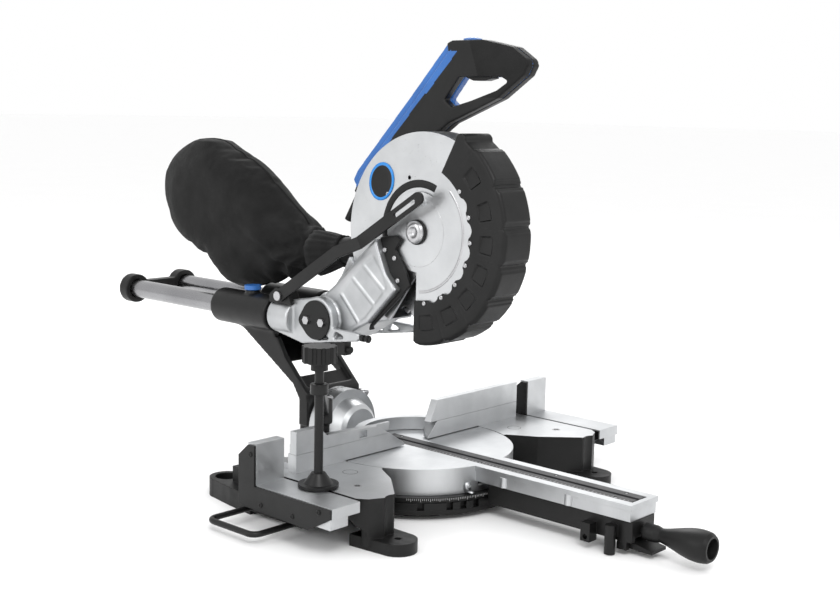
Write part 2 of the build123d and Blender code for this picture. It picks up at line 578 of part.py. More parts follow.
# ================================================================ SAW HEAD
ARM_SIDE = [
    (160, 262), (124, 290), (82, 330), (47, 362), (38, 340), (27, 315), (6, 293),
    (60, 239), (118, 206), (150, 203),
]
ARM_WEB = [(160, 262), (128, 300), (112, 330), (60, 250), (60, 239), (118, 206), (150, 203)]
with BuildPart() as head_arm:
    rod_x(-46, 46, *PIVOT, 31)
    plate_x(ARM_SIDE, -44, -GUARD_HALF - 0.3)
    plate_x(ARM_WEB, -30, 27.5)
    rod_x(-GUARD_HALF - 0.2, 28, *GUARD, GUARD_R + 0.3, Mode.SUBTRACT)
    rod_x(-50, -GUARD_HALF, *ARBOR, 60, Mode.SUBTRACT)
    rod_x(20, 30, *ARBOR, 64, Mode.SUBTRACT)
    plate_x(
        [(64, 246), (112, 214), (132, 214), (128, 262), (84, 312), (50, 338), (34, 318), (22, 294)],
        -45, -42.3, mode=Mode.SUBTRACT,
    )
    for top, bottom in (((96, 303), (44, 262)), ((74, 323), (26, 285)), ((120, 280), (78, 236))):
        plate_x([top, (top[0], top[1] + 4), (bottom[0], bottom[1] + 4), bottom], -44, -42)
    rod_x(-48, 48, *PIVOT, 8 + RUNNING - 0.05, Mode.SUBTRACT)
    rod_x(-34, 34, *PIVOT, 22, Mode.SUBTRACT)
save(head_arm, "head_arm")

SPRING_R, WIRE_R, SPRING_TURNS, SPRING_PITCH = 14.5, 2.2, 7, 8.0
with BuildPart() as chop_return_spring:
    with BuildLine() as coil:
        Helix(
            SPRING_PITCH, SPRING_PITCH * SPRING_TURNS, SPRING_R,
            center=(-28, *PIVOT), direction=(1, 0, 0),
        )
    with BuildSketch(Plane(origin=coil.line @ 0, z_dir=coil.line % 0)):
        Circle(WIRE_R)
    sweep(path=coil.wire())
save(chop_return_spring, "chop_return_spring")

GUARD_START, GUARD_END = 45.0, 245.0
with BuildPart() as upper_guard:
    segment_x(GUARD, GUARD_R, GUARD_START, GUARD_END, -GUARD_HALF, GUARD_HALF)
    segment_x(
        GUARD, GUARD_R - 3, GUARD_START - 8, GUARD_END + 8, -GUARD_HALF + 3, GUARD_HALF - 3,
        Mode.SUBTRACT,
    )
    rod_x(GUARD_HALF - 4, GUARD_HALF + 1, *ARBOR, 30, Mode.SUBTRACT)
    sector_x(ARBOR, 62, 72, 66, 152, -GUARD_HALF - 1, -GUARD_HALF + 4, Mode.SUBTRACT)
    rod_x(-GUARD_HALF - 1, -GUARD_HALF + 4, 3, 449, 3, Mode.SUBTRACT)
    rod_x(-30, -GUARD_HALF + 0.5, *ARBOR, 12.0)
save(upper_guard, "upper_guard")

with BuildPart() as guard_rear_cover:
    plate_x(
        [(47, 363), (31, 366.5), (17, 368), (7, 362), (17, 348), (-4, 318), (-12, 300), (0, 288),
         (60, 233), (58, 229), (66, 227), (64, 236), (6, 291.5), (27, 313.5), (38, 338.5)],
        -34, -28,
    )
    plate_x(ARM_SIDE, -50, -10, mode=Mode.SUBTRACT)
save(guard_rear_cover, "guard_rear_cover")

with BuildPart() as head_screws:
    for screw_y, screw_z in ((36, 346), (17, 336), (10, 305)):
        rod_x(-36.4, -34.1, screw_y, screw_z, 3.6)
    rod_x(-GUARD_HALF - 1.2, -GUARD_HALF - 0.05, 44, 424, 3.2)
    rod_x(-GUARD_HALF - 1.2, -GUARD_HALF - 0.05, -50, 430, 3.2)
    rod_x(-34.2, -30.1, *ARBOR, 16)
    rod_x(-36.6, -34.2, *ARBOR, 5)
save(head_screws, "head_screws")

HOUSING_X0, HOUSING_X1 = 28.0, 68.0
with BuildPart() as gear_housing:
    for x0, x1, cut, mode in (
        (HOUSING_X0, HOUSING_X1, 0, Mode.ADD),
        (HOUSING_X0 + 4, HOUSING_X1 - 4, 4, Mode.SUBTRACT),
    ):
        with BuildSketch(Plane.YZ.offset(x0)) as housing_outline:
            with Locations(ARBOR):
                Circle(63 - cut)
            with Locations(MOTOR):
                Circle(50 - cut)
            make_hull()
        extrude(amount=x1 - x0, mode=mode)
    rod_x(GUARD_HALF + 0.1, HOUSING_X0 + 8, *ARBOR, 27)
    rod_x(20, HOUSING_X0 + 9, *ARBOR, 16.05, Mode.SUBTRACT)
    rod_x(HOUSING_X1 - 9, HOUSING_X1, *ARBOR, 22)
    rod_x(HOUSING_X1 - 10, HOUSING_X1 - 1.5, *ARBOR, 16.05, Mode.SUBTRACT)
    rod_x(HOUSING_X1 - 9, HOUSING_X1, *MOTOR, 18)
    rod_x(HOUSING_X1 - 10, HOUSING_X1 + 1, *MOTOR, 13.05, Mode.SUBTRACT)
save(gear_housing, "gear_housing")

MOTOR_END = 200.0
with BuildPart() as motor_housing:
    rod_x(HOUSING_X1 + 0.1, MOTOR_END, *MOTOR, 48)
    rod_x(HOUSING_X1 - 1, MOTOR_END - 5, *MOTOR, 45, Mode.SUBTRACT)
    rod_x(MOTOR_END, MOTOR_END + 5, *MOTOR, 36)
    rod_x(MOTOR_END - 12, MOTOR_END - 4, *MOTOR, 16)
    rod_x(MOTOR_END - 13, MOTOR_END - 5, *MOTOR, 11.05, Mode.SUBTRACT)
    for side in (-1, 1):
        y0, y1 = sorted((MOTOR[0] + side * 44, MOTOR[0] + side * 53))
        rod_y(y0, y1, 172, MOTOR[1], 9)
save(motor_housing, "motor_housing")

with BuildPart() as motor_stator:
    rod_x(98, 150, *MOTOR, 44.9)
    rod_x(97, 151, *MOTOR, 29.5, Mode.SUBTRACT)
save(motor_stator, "motor_stator")

with BuildPart() as bearings:
    for x0, x1, centre, outer, inner in (
        (25, 36.5, ARBOR, 16, 8), (59.5, 66, ARBOR, 16, 8),
        (60, 68, MOTOR, 13, 5), (187.5, 194.5, MOTOR, 11, 5),
    ):
        rod_x(x0, x1, *centre, outer)
        rod_x(x0 - 1, x1 + 1, *centre, inner + RUNNING, Mode.SUBTRACT)
save(bearings, "bearings")




def involute(radius, base_radius):
    """The angle that an involute has turned when it reaches a radius."""
    if radius <= base_radius:
        return 0.0
    swing = sqrt((radius / base_radius) ** 2 - 1)
    return swing - atan(swing)


def gear_outline(centre, teeth, tilt, play=0.35, addendum=0.7, dedendum=1.25):
    """The y, z points of a spur gear with one tooth centred on the tilt angle."""
    pitch_r = MODULE * teeth / 2
    base_r = pitch_r * cos(radians(20))
    root_r = pitch_r - dedendum * MODULE
    tip_r = pitch_r + addendum * MODULE
    half_tooth = pi / teeth / 2 - play / 2 / pitch_r + involute(pitch_r, base_r)
    start_r = max(base_r, root_r)
    flank = [start_r + (tip_r - start_r) * step / 5 for step in range(6)]
    if root_r < base_r:
        flank.insert(0, root_r)
    points = []
    for tooth in range(teeth):
        middle = radians(tilt) + 2 * pi * tooth / teeth
        rising = [(r, middle - half_tooth + involute(r, base_r)) for r in flank]
        falling = [(r, middle + half_tooth - involute(r, base_r)) for r in reversed(flank)]
        points += [(centre[0] + r * cos(a), centre[1] + r * sin(a)) for r, a in rising + falling]
    return points


# ---------------------------------------------------------------- handle
HANDLE_X0, HANDLE_SEAM, HANDLE_X1 = 29.2, 42.5, 56.0
HANDLE = [
    (168, 436), (159, 451), (52, 563), (-14, 634), (-24, 638), (-78, 638), (-128, 628),
    (-154, 611), (-157, 603), (-150, 590), (-106, 559), (-67, 543), (-20, 524), (8, 504),
    (14, 430), (70, 390), (150, 412),
]
SPINE_EDGE = [(160, 370), (160, 428), (152, 443), (44, 556), (-17, 623), (-13, 640)]
GRIP_GAP = [(-12, 557), (-38, 588), (-112, 588), (-124, 582), (-104, 570), (-60, 556), (-26, 547)]
TRIGGER_Y = (-92.0, -48.0)
BUTTON_Y = (-62.0, -40.0)


def handle_cuts():
    """The finger gap, the switch space and the seat on the gear housing."""
    plate_x(GRIP_GAP, HANDLE_X0 - 2, HANDLE_X1 + 2, mode=Mode.SUBTRACT)
    block(33.5, 51.5, TRIGGER_Y[0] - 0.4, TRIGGER_Y[1] + 0.4, 580, 604, Mode.SUBTRACT)
    block(33, 52, -98, -36, 604, 620, Mode.SUBTRACT)
    block(34.6, 50.4, BUTTON_Y[0] - 0.4, BUTTON_Y[1] + 0.4, 619, 642, Mode.SUBTRACT)
    with BuildSketch(Plane.YZ.offset(HANDLE_X0 - 2)) as seat:
        with Locations(ARBOR):
            Circle(63.1)
        with Locations(MOTOR):
            Circle(50.1)
        make_hull()
    extrude(seat.sketch, amount=40, mode=Mode.SUBTRACT)


with BuildPart() as handle_right:
    plate_x(HANDLE, HANDLE_SEAM + 0.05, HANDLE_X1)
    plate_x(HANDLE, HANDLE_X0 + 3, HANDLE_SEAM + 0.1)
    plate_x(
        SPINE_EDGE + [(-200, 640), (-200, 370)],
        HANDLE_X0, HANDLE_SEAM + 0.05, mode=Mode.SUBTRACT,
    )
    handle_cuts()
save(handle_right, "handle_right")

with BuildPart() as handle_left:
    plate_x(HANDLE, HANDLE_X0, HANDLE_SEAM)
    plate_x(
        SPINE_EDGE + [(60, 640), (200, 500), (200, 370)],
        HANDLE_X0 - 1, HANDLE_SEAM + 0.1, mode=Mode.SUBTRACT,
    )
    handle_cuts()
save(handle_left, "handle_left")

with BuildPart() as trigger:
    plate_x(
        [(TRIGGER_Y[0], 598), (TRIGGER_Y[0], 586), (-80, 583), (-60, 583), (TRIGGER_Y[1], 587),
         (TRIGGER_Y[1], 598)],
        34, 51,
    )
save(trigger, "trigger")

with BuildPart() as lock_off_button:
    block(35, 50, *BUTTON_Y, 626.5, 640.5)
    block(37, 48, BUTTON_Y[0] + 3, BUTTON_Y[1] - 3, 640.4, 641.5)
save(lock_off_button, "lock_off_button")

with BuildPart() as switch_block:
    block(34, 51, -96, -38, 604.2, 619)
save(switch_block, "switch_block")

with BuildPart() as cord_gland:
    gland_plane = Plane(origin=(42.5, 160, 424), x_dir=(1, 0, 0), z_dir=(0, 0.45, -0.89))
    with Locations(gland_plane):
        Cylinder(8, 8, align=(Align.CENTER, Align.CENTER, Align.MIN))
        Cone(3.8, 7, 56, align=(Align.CENTER, Align.CENTER, Align.MIN))
        Cylinder(2.6, 60, align=(Align.CENTER, Align.CENTER, Align.MIN), mode=Mode.SUBTRACT)
    plate_x(HANDLE, HANDLE_X0, HANDLE_X1, mode=Mode.SUBTRACT)
save(cord_gland, "cord_gland")

# ---------------------------------------------------------------- dust extraction
with BuildPart() as dust_port:
    port_plane = Plane(origin=(8, 96, 340), x_dir=(1, 0, 0), z_dir=(0, 0.99, -0.14))
    with Locations(port_plane):
        Cylinder(20, 100, align=(Align.CENTER, Align.CENTER, Align.MIN))
        Cylinder(17, 106, align=(Align.CENTER, Align.CENTER, Align.MIN), mode=Mode.SUBTRACT)
    rod_x(-GUARD_HALF - 0.2, 60, *GUARD, GUARD_R + 0.1, Mode.SUBTRACT)
    plate_x(ARM_WEB, -30.1, 27.6, mode=Mode.SUBTRACT)
save(dust_port, "dust_port")

BAG_X = 10.0
BAG = [
    (436, 490), (395, 474), (340, 448), (282, 404), (228, 366), (198, 345), (204, 305),
    (256, 285), (342, 266), (412, 263), (447, 278), (502, 299), (552, 334), (571, 366),
    (580, 431), (513, 483),
]
BAG_CENTRE = (415.0, 378.0)
with BuildPart() as dust_bag:
    for bag_x, scale_by in ((-44, 0.62), (-24, 0.93), (0, 1.0), (24, 0.93), (44, 0.62)):
        with BuildSketch(Plane.YZ.offset(BAG_X + bag_x)):
            with BuildLine():
                Spline(
                    *[(BAG_CENTRE[0] + (y - BAG_CENTRE[0]) * scale_by,
                       BAG_CENTRE[1] + (z - BAG_CENTRE[1]) * scale_by) for y, z in BAG],
                    periodic=True,
                )
            make_face()
    loft(ruled=True)
    with Locations(Plane(origin=(8, 192.03, 326.42), x_dir=(1, 0, 0), z_dir=(0, 0.99, -0.14))):
        Cylinder(23, 30, align=(Align.CENTER, Align.CENTER, Align.MIN))
        Cylinder(20.1, 9, align=(Align.CENTER, Align.CENTER, Align.MIN), mode=Mode.SUBTRACT)
save(dust_bag, "dust_bag")

# ================================================================ BLADE SPINDLE
TEETH = 60
with BuildPart() as saw_blade:
    with BuildSketch(Plane.YZ.offset(-1.4)):
        with Locations(ARBOR):
            tooth_points = []
            for tooth in range(TEETH):
                turn = 2 * pi * tooth / TEETH
                for radius, step in ((BLADE_R - 7, -0.030), (BLADE_R, 0.0), (BLADE_R - 1.5, 0.035)):
                    tooth_points.append((radius * cos(turn + step), radius * sin(turn + step)))
            Polygon(*tooth_points, align=None)
            Circle(8.0, mode=Mode.SUBTRACT)
    extrude(amount=2.8)
save(saw_blade, "saw_blade")

with BuildPart() as arbor_shaft:
    rod_x(-8, 66, *ARBOR, 8.0)
    rod_x(1.5, 8, *ARBOR, 24)
    rod_x(8, 20, *ARBOR, 12)
    rod_x(-1.5, 1.5, *ARBOR, 8.2, Mode.SUBTRACT)
    rod_x(-1.6, 1.6, *ARBOR, 7.95)
    rod_x(-7, -1.5, *ARBOR, 24)
    with BuildSketch(Plane.YZ.offset(-14)) as bolt_hex:
        with Locations(ARBOR):
            RegularPolygon(9, 6)
    extrude(amount=7.5)
save(arbor_shaft, "arbor_shaft")

with BuildPart() as driven_gear:
    plate_x(gear_outline(ARBOR, GEAR_TEETH, MOTOR_TILT), 40, 52)
    rod_x(36.6, 40, *ARBOR, 13)
    rod_x(52, 59.4, *ARBOR, 13)
    rod_x(36, 60, *ARBOR, 8.05, Mode.SUBTRACT)
save(driven_gear, "driven_gear")

with BuildPart() as armature:
    rod_x(53, 194, *MOTOR, 5.0)
    plate_x(gear_outline(MOTOR, PINION_TEETH, MOTOR_TILT + 180 + 180 / PINION_TEETH), 39, 53)
    rod_x(98, 150, *MOTOR, 28.5)
    rod_x(158, 178, *MOTOR, 14)
    rod_x(74, 78, *MOTOR, 40)
    rod_x(78, 88, *MOTOR, 12)
    for blade_turn in range(10):
        with Locations(Location((82, *MOTOR), (36 * blade_turn, 0, 0))):
            with Locations((0, 0, 26)):
                Box(8.5, 1.6, 27)
save(armature, "armature")

# ================================================================ LOWER GUARD
GUARD_LOW, GUARD_HIGH = -90.0, 62.0
WALL_X0, WALL_X1 = -30.0, -24.3
SCREW_ANGLES = (37.7, 15.8, -3.9, -22.2, -41.1, -59.6, -78.8)
with BuildPart() as guard_carrier:
    rod_x(-27, -24.5, *ARBOR, 56)
    sector_x(ARBOR, 20, 104, GUARD_LOW, GUARD_HIGH, -27, -24.5)
    rod_x(-46.5, -26, *LINK_PIN, 3.0)
    rod_x(-30, -26, *LINK_PIN, 6.0)
    rod_x(-29.5, -26, *ARBOR, 17)
    rod_x(-31, -24, *ARBOR, 12.08, Mode.SUBTRACT)
save(guard_carrier, "guard_carrier")

LUG_ANGLES = (GUARD_LOW, -69.0, -50.0, -31.5, -13.0, 6.0, 27.0, 50.0)
with BuildPart() as lower_guard_shell:
    sector_x(ARBOR, 95, SHELL_R - 5, GUARD_LOW, GUARD_HIGH, WALL_X0 - 1.2, -27.3)
    sector_x(ARBOR, 104.5, SHELL_R - 5, GUARD_LOW, GUARD_HIGH, -27.35, WALL_X1)
    sector_x(ARBOR, 149.5, SHELL_R - 4.5, GUARD_LOW, GUARD_HIGH, WALL_X0 + 0.5, 26.5)
    sector_x(ARBOR, 146, SHELL_R - 5, GUARD_LOW, GUARD_HIGH, 24.4, 27)
    for start, end in zip(LUG_ANGLES, LUG_ANGLES[1:]):
        sector_x(ARBOR, 149.6, SHELL_R - 2, start + 1, end - 1, WALL_X0 - 0.4, 26.8)
        sector_x(ARBOR, 151, SHELL_R, start + 3, end - 3, WALL_X0 + 2, 25)
        middle = (start + end) / 2
        sector_x(
            ARBOR, 116, 137, middle - 5.5, middle + 5.5, WALL_X0 - 2, WALL_X0 + 1.6, Mode.SUBTRACT
        )
        sector_x(ARBOR, 111, 156, end - 0.4, end + 0.4, WALL_X0 - 2, WALL_X0 - 0.3, Mode.SUBTRACT)
    for upper, lower in zip(SCREW_ANGLES, SCREW_ANGLES[1:]):
        scallop = around(ARBOR, 88, (upper + lower) / 2)
        rod_x(WALL_X0 - 2, -27.2, *scallop, 12.5, Mode.SUBTRACT)
    crest = around(ARBOR, SHELL_R - 8, GUARD_HIGH - 3)
    rod_x(WALL_X0 - 1, 27, *crest, 9)
    rod_x(-24.2, 24.3, *GUARD, GUARD_R + 0.6, Mode.SUBTRACT)
save(lower_guard_shell, "lower_guard_shell")

with BuildPart() as guard_screws:
    for angle in SCREW_ANGLES:
        screw_at = around(ARBOR, 99, angle)
        rod_x(WALL_X0 - 2.6, WALL_X0 - 1.25, *screw_at, 3.2)
save(guard_screws, "guard_screws")

# ================================================================ GUARD LINK
link_run = sqrt((LINK_PIN[0] - LINK_REAR[0]) ** 2 + (LINK_PIN[1] - LINK_REAR[1]) ** 2)
link_dir = ((LINK_PIN[0] - LINK_REAR[0]) / link_run, (LINK_PIN[1] - LINK_REAR[1]) / link_run)
LINK_HALF = 9.0
LINK_END = link_run + 14
with BuildPart() as guard_link:
    along_link = Plane(
        origin=(0, *LINK_REAR), x_dir=(0, *link_dir), z_dir=(0, link_dir[1], -link_dir[0])
    )
    with BuildSketch(along_link):
        with BuildLine():
            Polyline(
                (-LINK_HALF, LINK_X[0]), (144, LINK_X[0]), (170, LINK_X[1]),
                (LINK_END + LINK_HALF, LINK_X[1]), (LINK_END + LINK_HALF, LINK_X[1] + LINK_T),
                (168.5, LINK_X[1] + LINK_T), (142.5, LINK_X[0] + LINK_T),
                (-LINK_HALF, LINK_X[0] + LINK_T), close=True,
            )
        make_face()
    extrude(amount=LINK_HALF, both=True)
    beside_link = Plane(origin=(-80, *LINK_REAR), x_dir=(0, *link_dir), z_dir=(1, 0, 0))
    with BuildSketch(beside_link):
        with Locations((LINK_END / 2, 0)):
            SlotCenterToCenter(LINK_END, 2 * LINK_HALF)
    extrude(amount=40, mode=Mode.INTERSECT)
    with BuildSketch(beside_link):
        with Locations((link_run - 14, 0)):
            SlotCenterToCenter(38, 7)
    extrude(amount=40, mode=Mode.SUBTRACT)
    rod_x(LINK_X[0] - 1, LINK_X[0] + LINK_T + 1, *LINK_REAR, 4.06, Mode.SUBTRACT)
save(guard_link, "guard_link")
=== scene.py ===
import json
import math

import bmesh
import bpy
from mathutils import Matrix, Vector, noise


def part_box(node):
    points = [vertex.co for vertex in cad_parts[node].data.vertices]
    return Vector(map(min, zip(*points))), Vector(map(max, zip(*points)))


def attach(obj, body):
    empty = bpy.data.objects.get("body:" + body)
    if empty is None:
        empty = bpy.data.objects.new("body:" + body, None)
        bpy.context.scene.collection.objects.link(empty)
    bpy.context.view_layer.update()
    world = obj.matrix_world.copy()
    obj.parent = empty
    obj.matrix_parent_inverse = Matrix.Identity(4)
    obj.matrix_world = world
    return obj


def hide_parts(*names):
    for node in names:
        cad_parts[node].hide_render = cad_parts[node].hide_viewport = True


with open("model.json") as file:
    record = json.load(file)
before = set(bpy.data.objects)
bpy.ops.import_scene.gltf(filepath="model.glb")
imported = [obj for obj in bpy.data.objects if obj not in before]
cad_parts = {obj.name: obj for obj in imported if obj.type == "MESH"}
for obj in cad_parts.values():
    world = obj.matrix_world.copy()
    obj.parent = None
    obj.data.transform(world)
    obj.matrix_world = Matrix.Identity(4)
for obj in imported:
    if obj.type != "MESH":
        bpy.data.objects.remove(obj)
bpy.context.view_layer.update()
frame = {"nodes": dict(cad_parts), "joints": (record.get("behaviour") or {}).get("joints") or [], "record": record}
NODES = frame["nodes"]
JOINTS = {joint["name"]: joint for joint in frame["joints"]}
BODY_OF = {n: body for body, names in frame["record"]["behaviour"]["bodies"].items() for n in names}
SLOT_OF = {part["node"]: part["material_slot"] for part in frame["record"]["subparts"]}

ARBOR = Vector(JOINTS["blade_spin"]["pos_m"])
MOTOR = Vector(JOINTS["armature_spin"]["pos_m"])
TABLE_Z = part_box("base_casting")[1].z
GUARD_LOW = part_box("upper_guard")[0]
LEFTWARD = (-1, 0, 0)
FORWARD = (0, -1, 0)
REARWARD = (0, 1, 0)
UPWARD = (0, 0, 1)


# ---------------------------------------------------------------- material building blocks
def add(tree, kind, inputs=None, **settings):
    """Adds a shader node; an input is a value or another node's output."""
    node = tree.nodes.new(kind)
    for key, value in settings.items():
        setattr(node, key, value)
    for key, value in (inputs or {}).items():
        if isinstance(value, bpy.types.NodeSocket):
            tree.links.new(value, node.inputs[key])
        else:
            node.inputs[key].default_value = value
    return node


def position(tree, stretch=(1, 1, 1)):
    """Object coordinates, which are the model's own metres."""
    coords = add(tree, "ShaderNodeTexCoord")
    mapping = add(tree, "ShaderNodeMapping", {"Vector": coords.outputs["Object"]})
    mapping.inputs["Scale"].default_value = stretch
    return mapping.outputs["Vector"]


def noise_at(tree, scale, detail=3.0, rough=0.55, stretch=(1, 1, 1)):
    """A noise field with features about 1/scale metres across."""
    made = add(
        tree, "ShaderNodeTexNoise",
        {"Vector": position(tree, stretch), "Scale": scale, "Detail": detail, "Roughness": rough},
    )
    return made.outputs["Fac"]


def spread(tree, fac, low, high):
    """Maps a 0 to 1 field onto a range."""
    ranged = add(tree, "ShaderNodeMapRange", {"Value": fac, "To Min": low, "To Max": high})
    ranged.inputs["From Min"].default_value = 0.3
    ranged.inputs["From Max"].default_value = 0.7
    return ranged.outputs["Result"]


def tinted(tree, fac, dark, light):
    """A colour that varies between two by a field."""
    mix = add(tree, "ShaderNodeMix", {"Factor": spread(tree, fac, 0.0, 1.0)}, data_type="RGBA")
    mix.inputs["A"].default_value = (*dark, 1)
    mix.inputs["B"].default_value = (*light, 1)
    return mix.outputs["Result"]


def bumped(tree, height, distance, strength=1.0, under=None, edge=0.0007):
    """A normal from a height field on top of rounded edges."""
    if under is None:
        under = add(tree, "ShaderNodeBevel", {"Radius": edge}, samples=4).outputs["Normal"]
    bump = add(
        tree, "ShaderNodeBump",
        {"Height": height, "Distance": distance, "Strength": strength, "Normal": under},
    )
    return bump.outputs["Normal"]


def finish_of(name):
    """A new material with its tree and its shader."""
    made = bpy.data.materials.new(name)
    made.use_nodes = True
    return made, made.node_tree, made.node_tree.nodes["Principled BSDF"]


def painted(name, dark, light, rough, grain=900, depth=0.00006, metallic=0.0, coat=0.0,
            gloss=0.5, edge=0.0007):
    """Sprayed or powder-coated metal with a fine orange-peel surface."""
    made, tree, shader = finish_of(name)
    broad = noise_at(tree, 22, 4)
    tree.links.new(tinted(tree, broad, dark, light), shader.inputs["Base Color"])
    tree.links.new(spread(tree, noise_at(tree, 60, 3), rough - 0.05, rough + 0.07),
                   shader.inputs["Roughness"])
    tree.links.new(bumped(tree, noise_at(tree, grain, 2), depth, edge=edge),
                   shader.inputs["Normal"])
    shader.inputs["Metallic"].default_value = metallic
    shader.inputs["Specular IOR Level"].default_value = gloss
    shader.inputs["Coat Weight"].default_value = coat
    shader.inputs["Coat Roughness"].default_value = 0.2
    return made


def brushed(name, dark, light, rough, stretch, depth=0.00003, metallic=1.0):
    """Metal with fine parallel tool marks along one axis."""
    made, tree, shader = finish_of(name)
    marks = noise_at(tree, 60, 5, 0.65, stretch)
    patches = noise_at(tree, 14, 3)
    tree.links.new(tinted(tree, patches, dark, light), shader.inputs["Base Color"])
    tree.links.new(spread(tree, marks, rough - 0.07, rough + 0.1), shader.inputs["Roughness"])
    tree.links.new(bumped(tree, marks, depth), shader.inputs["Normal"])
    shader.inputs["Metallic"].default_value = metallic
    return made


def moulded(name, dark, light, rough, grain=1500, depth=0.00005, coat=0.0, gloss=0.25):
    """Injection-moulded plastic with a spark-eroded grain."""
    made, tree, shader = finish_of(name)
    tree.links.new(tinted(tree, noise_at(tree, 18, 3), dark, light), shader.inputs["Base Color"])
    tree.links.new(spread(tree, noise_at(tree, 45, 4), rough - 0.05, rough + 0.06),
                   shader.inputs["Roughness"])
    cells = add(tree, "ShaderNodeTexVoronoi", {"Vector": position(tree), "Scale": grain})
    tree.links.new(bumped(tree, cells.outputs["Distance"], depth), shader.inputs["Normal"])
    shader.inputs["Specular IOR Level"].default_value = gloss
    shader.inputs["Coat Weight"].default_value = coat
    shader.inputs["Coat Roughness"].default_value = 0.25
    return made


def machined_tops(name, body_dark, body_light, above):
    """Black painted casting whose faces above a height are machined bright."""
    made, tree, shader = finish_of(name)
    place = add(tree, "ShaderNodeSeparateXYZ", {"Vector": position(tree)})
    top = add(tree, "ShaderNodeMath", {0: place.outputs["Z"], 1: above}, operation="GREATER_THAN")
    face = add(tree, "ShaderNodeNewGeometry")
    tilt = add(tree, "ShaderNodeSeparateXYZ", {"Vector": face.outputs["True Normal"]})
    flat = add(tree, "ShaderNodeMath", {0: tilt.outputs["Z"], 1: 0.9}, operation="GREATER_THAN")
    bare = add(tree, "ShaderNodeMath", {0: top.outputs[0], 1: flat.outputs[0]},
               operation="MULTIPLY").outputs[0]
    marks = noise_at(tree, 60, 5, 0.65, (1, 14, 1))
    paint = tinted(tree, noise_at(tree, 22, 4), body_dark, body_light)
    metal = tinted(tree, noise_at(tree, 14, 3), (0.50, 0.51, 0.52), (0.60, 0.61, 0.62))
    colour = add(tree, "ShaderNodeMix", {"Factor": bare}, data_type="RGBA")
    tree.links.new(paint, colour.inputs["A"])
    tree.links.new(metal, colour.inputs["B"])
    tree.links.new(colour.outputs["Result"], shader.inputs["Base Color"])
    tree.links.new(bare, shader.inputs["Metallic"])
    rough = add(tree, "ShaderNodeMix", {"Factor": bare}, data_type="FLOAT")
    tree.links.new(spread(tree, noise_at(tree, 60, 3), 0.4, 0.52), rough.inputs["A"])
    tree.links.new(spread(tree, marks, 0.3, 0.46), rough.inputs["B"])
    tree.links.new(rough.outputs["Result"], shader.inputs["Roughness"])
    tree.links.new(bumped(tree, noise_at(tree, 800, 2), 0.00005, edge=0.002),
                   shader.inputs["Normal"])
    shader.inputs["Specular IOR Level"].default_value = 0.3
    return made


def woven(name, dark, light, thread=0.0011):
    """Plain-weave polyester with a soft sheen."""
    made, tree, shader = finish_of(name)
    per_metre = 2 * math.pi / 20 / thread
    warp = add(tree, "ShaderNodeTexWave", {"Vector": position(tree), "Scale": per_metre,
                                            "Distortion": 0.6, "Detail": 1.0},
               bands_direction="Y")
    weft = add(tree, "ShaderNodeTexWave", {"Vector": position(tree), "Scale": per_metre,
                                            "Distortion": 0.6, "Detail": 1.0},
               bands_direction="Z")
    cloth = add(tree, "ShaderNodeMath", {0: warp.outputs["Fac"], 1: weft.outputs["Fac"]},
                operation="MULTIPLY").outputs[0]
    tree.links.new(tinted(tree, noise_at(tree, 26, 5), dark, light), shader.inputs["Base Color"])
    tree.links.new(spread(tree, noise_at(tree, 30, 3), 0.78, 0.92), shader.inputs["Roughness"])
    soft = add(tree, "ShaderNodeBump", {"Height": noise_at(tree, 95, 4), "Distance": 0.0007})
    tree.links.new(bumped(tree, cloth, 0.00022, under=soft.outputs["Normal"]),
                   shader.inputs["Normal"])
    shader.inputs["Specular IOR Level"].default_value = 0.2
    shader.inputs["Sheen Weight"].default_value = 0.05
    shader.inputs["Sheen Roughness"].default_value = 0.45
    return made


MATERIALS = {
    "black_paint": painted("black_paint", (0.004, 0.004, 0.004), (0.008, 0.008, 0.008), 0.38,
                           gloss=0.3, edge=0.0013),
    "casting": machined_tops("casting", (0.004, 0.004, 0.004), (0.008, 0.008, 0.008),
                             TABLE_Z - 0.0006),
    "silver_cast": brushed("silver_cast", (0.46, 0.47, 0.48), (0.58, 0.59, 0.60), 0.38, (1, 12, 1)),
    "silver_paint": painted("silver_paint", (0.42, 0.43, 0.44), (0.52, 0.53, 0.54), 0.38,
                            grain=1600, depth=0.00004, metallic=0.85),
    "guard_skin": brushed("guard_skin", (0.50, 0.51, 0.52), (0.60, 0.61, 0.62), 0.34, (1, 3, 9)),
    "rail_steel": brushed("rail_steel", (0.27, 0.27, 0.28), (0.32, 0.32, 0.33), 0.22, (8, 1, 8),
                          0.00001),
    "steel": brushed("steel", (0.42, 0.42, 0.43), (0.56, 0.56, 0.57), 0.3, (8, 1, 8)),
    "chrome_plate": brushed("chrome_plate", (0.46, 0.46, 0.47), (0.58, 0.58, 0.59), 0.24,
                            (1, 0.06, 1), depth=0.00001),
    "black_plastic": moulded("black_plastic", (0.005, 0.005, 0.005), (0.010, 0.010, 0.010), 0.42),
    "grip_rubber": moulded("grip_rubber", (0.003, 0.003, 0.003), (0.006, 0.006, 0.006), 0.62,
                           grain=700, depth=0.00018),
    "blue_plastic": moulded("blue_plastic", (0.020, 0.105, 0.34), (0.028, 0.135, 0.42), 0.34,
                            gloss=0.4, coat=0.1),
    "badge_blue": moulded("badge_blue", (0.010, 0.19, 0.55), (0.014, 0.22, 0.62), 0.25, gloss=0.5),
    "grey_plastic": moulded("grey_plastic", (0.030, 0.030, 0.032), (0.050, 0.050, 0.053), 0.45),
    "bag_fabric": woven("bag_fabric", (0.005, 0.005, 0.005), (0.011, 0.011, 0.011)),
    "print_white": painted("print_white", (0.62, 0.62, 0.62), (0.75, 0.75, 0.75), 0.5),
    "copper": brushed("copper", (0.6, 0.25, 0.12), (0.75, 0.35, 0.18), 0.35, (8, 1, 8)),
}
